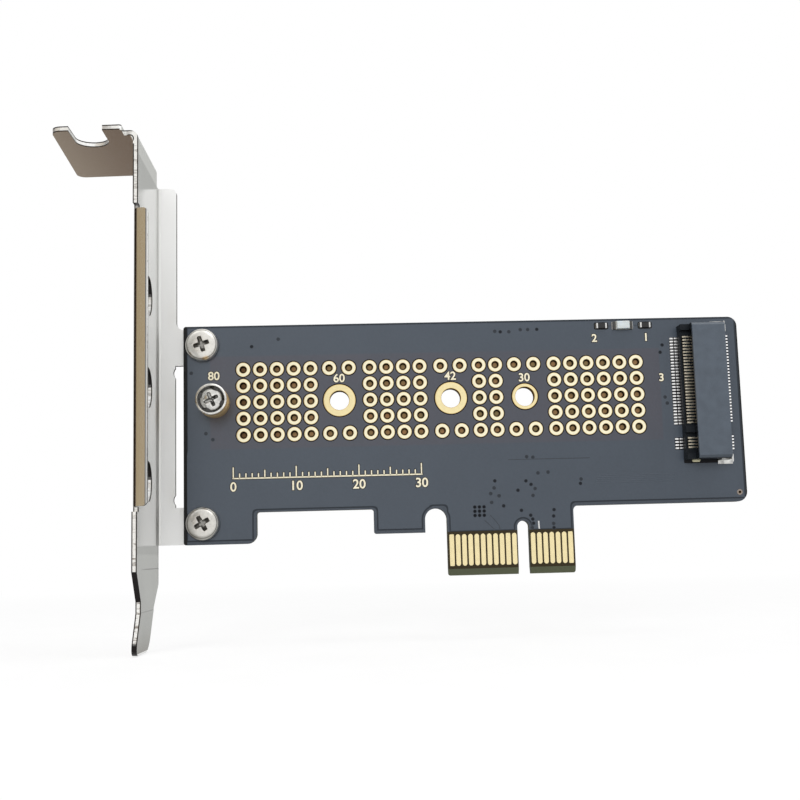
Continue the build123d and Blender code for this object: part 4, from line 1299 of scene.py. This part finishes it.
class CARD_OT_print(CardOperator):
    """Print plain length numbers, a measuring scale and simple marks on the component side"""
    bl_idname = "card.print"
    bl_label = "Board print"

    def execute(self, context):
        settings = context.scene.card_print
        gold = metal_finish("Gold print", settings.print_colour, 0.4, grain=0.3, scratches=0.3, relief=0.002)
        dark = moulded_finish("Border round the print", (0.02, 0.016, 0.012), 0.6, specular=0.15)
        labels = [
            ("80", STANDOFF + (-0.1, 4.3), 1), ("60", HOLE_60 + (0, 3.55), 1), ("42", HOLE_42 + (0, 3.55), 1),
            ("30", HOLE_30 + (0, 3.05), 1), ("2", (12.9, 37.7), 0.95), ("1", (21.4, 37.7), 0.95),
            ("3", (23.6, 31.0), 0.95),
        ]
        labels += [(str(mark), (SCALE_LEFT + mark, SCALE_Z - 1.4), 1.1) for mark in (0, 10, 20, 30)]
        step = np.arange(SCALE_LENGTH + 1)
        tall = np.where(step % 10 == 0, 1.8, np.where(step % 5 == 0, 1.3, 0.8))
        bars = [(SCALE_LEFT + mark, SCALE_Z + size / 2, 0.2, size) for mark, size in zip(step, tall)]
        bars.append((SCALE_LEFT + SCALE_LENGTH / 2, SCALE_Z, SCALE_LENGTH + 0.4, 0.22))
        thick, border = settings.print_thickness, settings.border
        for name, finish, thickness, grow, slot in (("printed", gold, thick, 0.0, GOLD),
                                                    ("border_round", dark, thick * 0.4, border, MASK)):
            print_numbers(name + "_numbers", labels, settings.number_height, thickness, grow, finish)
            wider = 2 * grow / MM
            marks = [repeated(pad(width + wider, height + wider, 12, 16, thickness / MM, 0.003), [(x, 0, z)])
                     for x, z, width, height in bars]
            piece(name + "_scale", together(*marks), finish)
        white = moulded_finish("White print", (0.85, 0.85, 0.84), 0.5)
        tick = along([(2.5, 8.3), (2.52, 7.7), (2.56, 7.05)], 0.24, thick / MM, FRONT)
        piece("pin_mark", tick, white)
        return {"FINISHED"}


# Stage

def glow(tree, colour, kind="Emission", strength=1.0):
    """Light of a colour from a surface, or from the world."""
    return add(tree, kind, [("Color", colour), ("Strength", strength)])


def reflected_card(name, points, columns, colour):
    """Card that only reflections see, over rows of points; its colour comes from the coordinates x and y."""
    mesh = bpy.data.meshes.new(name)
    quads = grid_quads(len(points) // columns, columns)
    mesh.from_pydata((np.asarray(points, float) * MM).tolist(), [], quads.tolist())
    finish, tree = new_finish(name)
    tree.nodes.clear()
    x, y = place_in_mm(tree)[1:3]
    add(tree, "OutputMaterial", [(0, glow(tree, colour(x, y)))])
    mesh.materials.append(finish)
    card = linked(name, mesh)
    card.visible_camera = card.visible_diffuse = card.visible_shadow = card.visible_transmission = False


def reflected_cards(settings):
    """Curved wall at the front left, tan turning brown, a card under the back and an upright one behind."""
    angle = np.radians(np.linspace(20, 125, 26))
    wall = np.stack([-520 * np.sin(angle), -520 * np.cos(angle), 0 * angle], -1)
    wall = np.stack([wall + (0, 0, -9), wall + (0, 0, 260)], 1).reshape(-1, 3)
    floor_z = CAD_BOX[0][2] / MM + 0.3
    lower = [(x, y, floor_z) for x in (-420, 160) for y in (-12, 480)]
    behind = [(x, 300, z) for x in (-40, 160) for z in (floor_z, 260)]

    def wall_colour(x, y):
        return painted(settings.tan_colour, (y.step(-178.0, -90.0), settings.brown_colour))

    def lower_colour(x, y):
        return painted(settings.under_colour, (x.step(-150.0, -90.0), settings.shade_colour),
                       (x.step(-75.0, -50.0), settings.grey_colour))

    reflected_card("front left card", wall, 2, wall_colour)
    reflected_card("lower card", lower, 2, lower_colour)
    reflected_card("back card", behind, 2, lambda x, y: settings.grey_colour)


def area_lamp(name, place, size, power):
    """Soft square lamp that looks at the card."""
    data = bpy.data.lights.new(name, "AREA")
    data.shape, data.size, data.energy = "SQUARE", size, power
    lamp = linked(name, data)
    lamp.location = place
    lamp.rotation_mode = "QUATERNION"
    lamp.rotation_quaternion = Vector(np.subtract((-0.01, 0, 0.03), place)).to_track_quat("-Z", "Y")
    return lamp


def floor_under(settings):
    """Round pale floor under the card: it takes the shadow close by and is plain white further out."""
    points = turned([(0.001, 0), (120, 0), (400, 0), (6000, 0)], 64).reshape(-1, 3)[:, [0, 2, 1]] * MM
    points[:, 2] += CAD_BOX[0][2] - 0.0001
    mesh = bpy.data.meshes.new("floor")
    mesh.from_pydata(points.tolist(), [], grid_quads(4, 64, wrap_columns=True).tolist())
    linked("floor", mesh)
    finish, tree = new_finish("Pale floor")
    radius = add(tree, "VectorMath", [(0, place_in_mm(tree)[0])], "Value", operation="LENGTH")
    pale = use(tree, "grain", 9.0, 0.8, 0.05)[0].mix((0.33, 0.33, 0.33), (0.35, 0.35, 0.35))
    set_shader(finish, Base_Color=pale, Roughness=0.9, Specular_IOR_Level=0.0, Emission_Color=WHITE,
               Emission_Strength=rays(tree, "Camera", "Glossy") * settings.floor_light)
    near, far = tree.nodes["Principled BSDF"].outputs[0], glow(tree, WHITE)
    mixed = add(tree, "MixShader", [(0, radius.step(130.0, 420.0)), (1, near), (2, far)])
    feed(tree, tree.nodes["Material Output"].inputs[0], mixed)
    mesh.materials.append(finish)


class CARD_OT_stage(CardOperator):
    """Set the camera, the pale floor, the even light and the soft lamps"""
    bl_idname = "card.stage"
    bl_label = "Stage"

    def execute(self, context):
        settings = context.scene.card_stage
        scene = bpy.context.scene
        scene.view_settings.view_transform = "Standard"
        data = bpy.data.cameras.new("camera")
        data.lens, data.sensor_width = settings.lens, settings.sensor
        data.clip_start, data.clip_end = 0.005, 50
        camera = linked("camera", data)
        turn = np.eye(4)
        turn[:3, :3] = np.stack([CAMERA_RIGHT, CAMERA_UP, CAMERA_BACK], -1)
        turn[:3, 3] = np.array(CAMERA_PLACE) * MM
        camera.matrix_world = Matrix(turn.tolist())
        scene.camera = camera
        world = bpy.data.worlds.new("even light")
        scene.world = world
        world.use_nodes = True
        tree = world.node_tree
        tree.nodes.clear()
        seen, even = rays(tree, "Camera", "Glossy", "Transmission"), settings.world_light
        add(tree, "OutputWorld", [(0, glow(tree, WHITE, "Background", seen * (1.0 - even) + even))])
        floor_under(settings)
        reflected_cards(settings)
        area_lamp("key lamp", (-0.15, -0.85, 0.22), 0.45, settings.key_power).visible_glossy = False
        area_lamp("fill lamp", (0.30, -0.15, 0.75), 0.6, settings.fill_power)
        return {"FINISHED"}


OPERATORS = (
    CARD_OT_board, CARD_OT_traces, CARD_OT_small_holes, CARD_OT_module_holes, CARD_OT_edge_contacts,
    CARD_OT_bracket, CARD_OT_bracket_screws, CARD_OT_standoff, CARD_OT_socket, CARD_OT_lamp,
    CARD_OT_supply, CARD_OT_print, CARD_OT_stage,
)


class CARD_PT_panel(bpy.types.Panel):
    """Lists the card's pieces and their settings in the sidebar"""
    bl_label = "Adapter card"
    bl_idname = "CARD_PT_panel"
    bl_space_type = "VIEW_3D"
    bl_region_type = "UI"
    bl_category = "Adapter card"

    def draw(self, context):
        for operator in OPERATORS:
            self.layout.operator(operator.bl_idname)
        for name, group in SETTINGS.items():
            box = self.layout.box()
            for key in group.__annotations__:
                box.prop(getattr(context.scene, name), key)


def register():
    """Makes the settings, operators and panel known."""
    for name, group in SETTINGS.items():
        bpy.utils.register_class(group)
        setattr(bpy.types.Scene, name, PointerProperty(type=group))
    for kind in (*OPERATORS, CARD_PT_panel):
        bpy.utils.register_class(kind)


def unregister():
    """Takes them back."""
    for kind in (CARD_PT_panel, *reversed(OPERATORS)):
        bpy.utils.unregister_class(kind)
    for name, group in SETTINGS.items():
        delattr(bpy.types.Scene, name)
        bpy.utils.unregister_class(group)


def main():
    """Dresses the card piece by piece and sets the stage."""
    register()
    for operator in OPERATORS:
        group, name = operator.bl_idname.split(".")
        getattr(getattr(bpy.ops, group), name)()


if __name__ == "__main__":
    main()
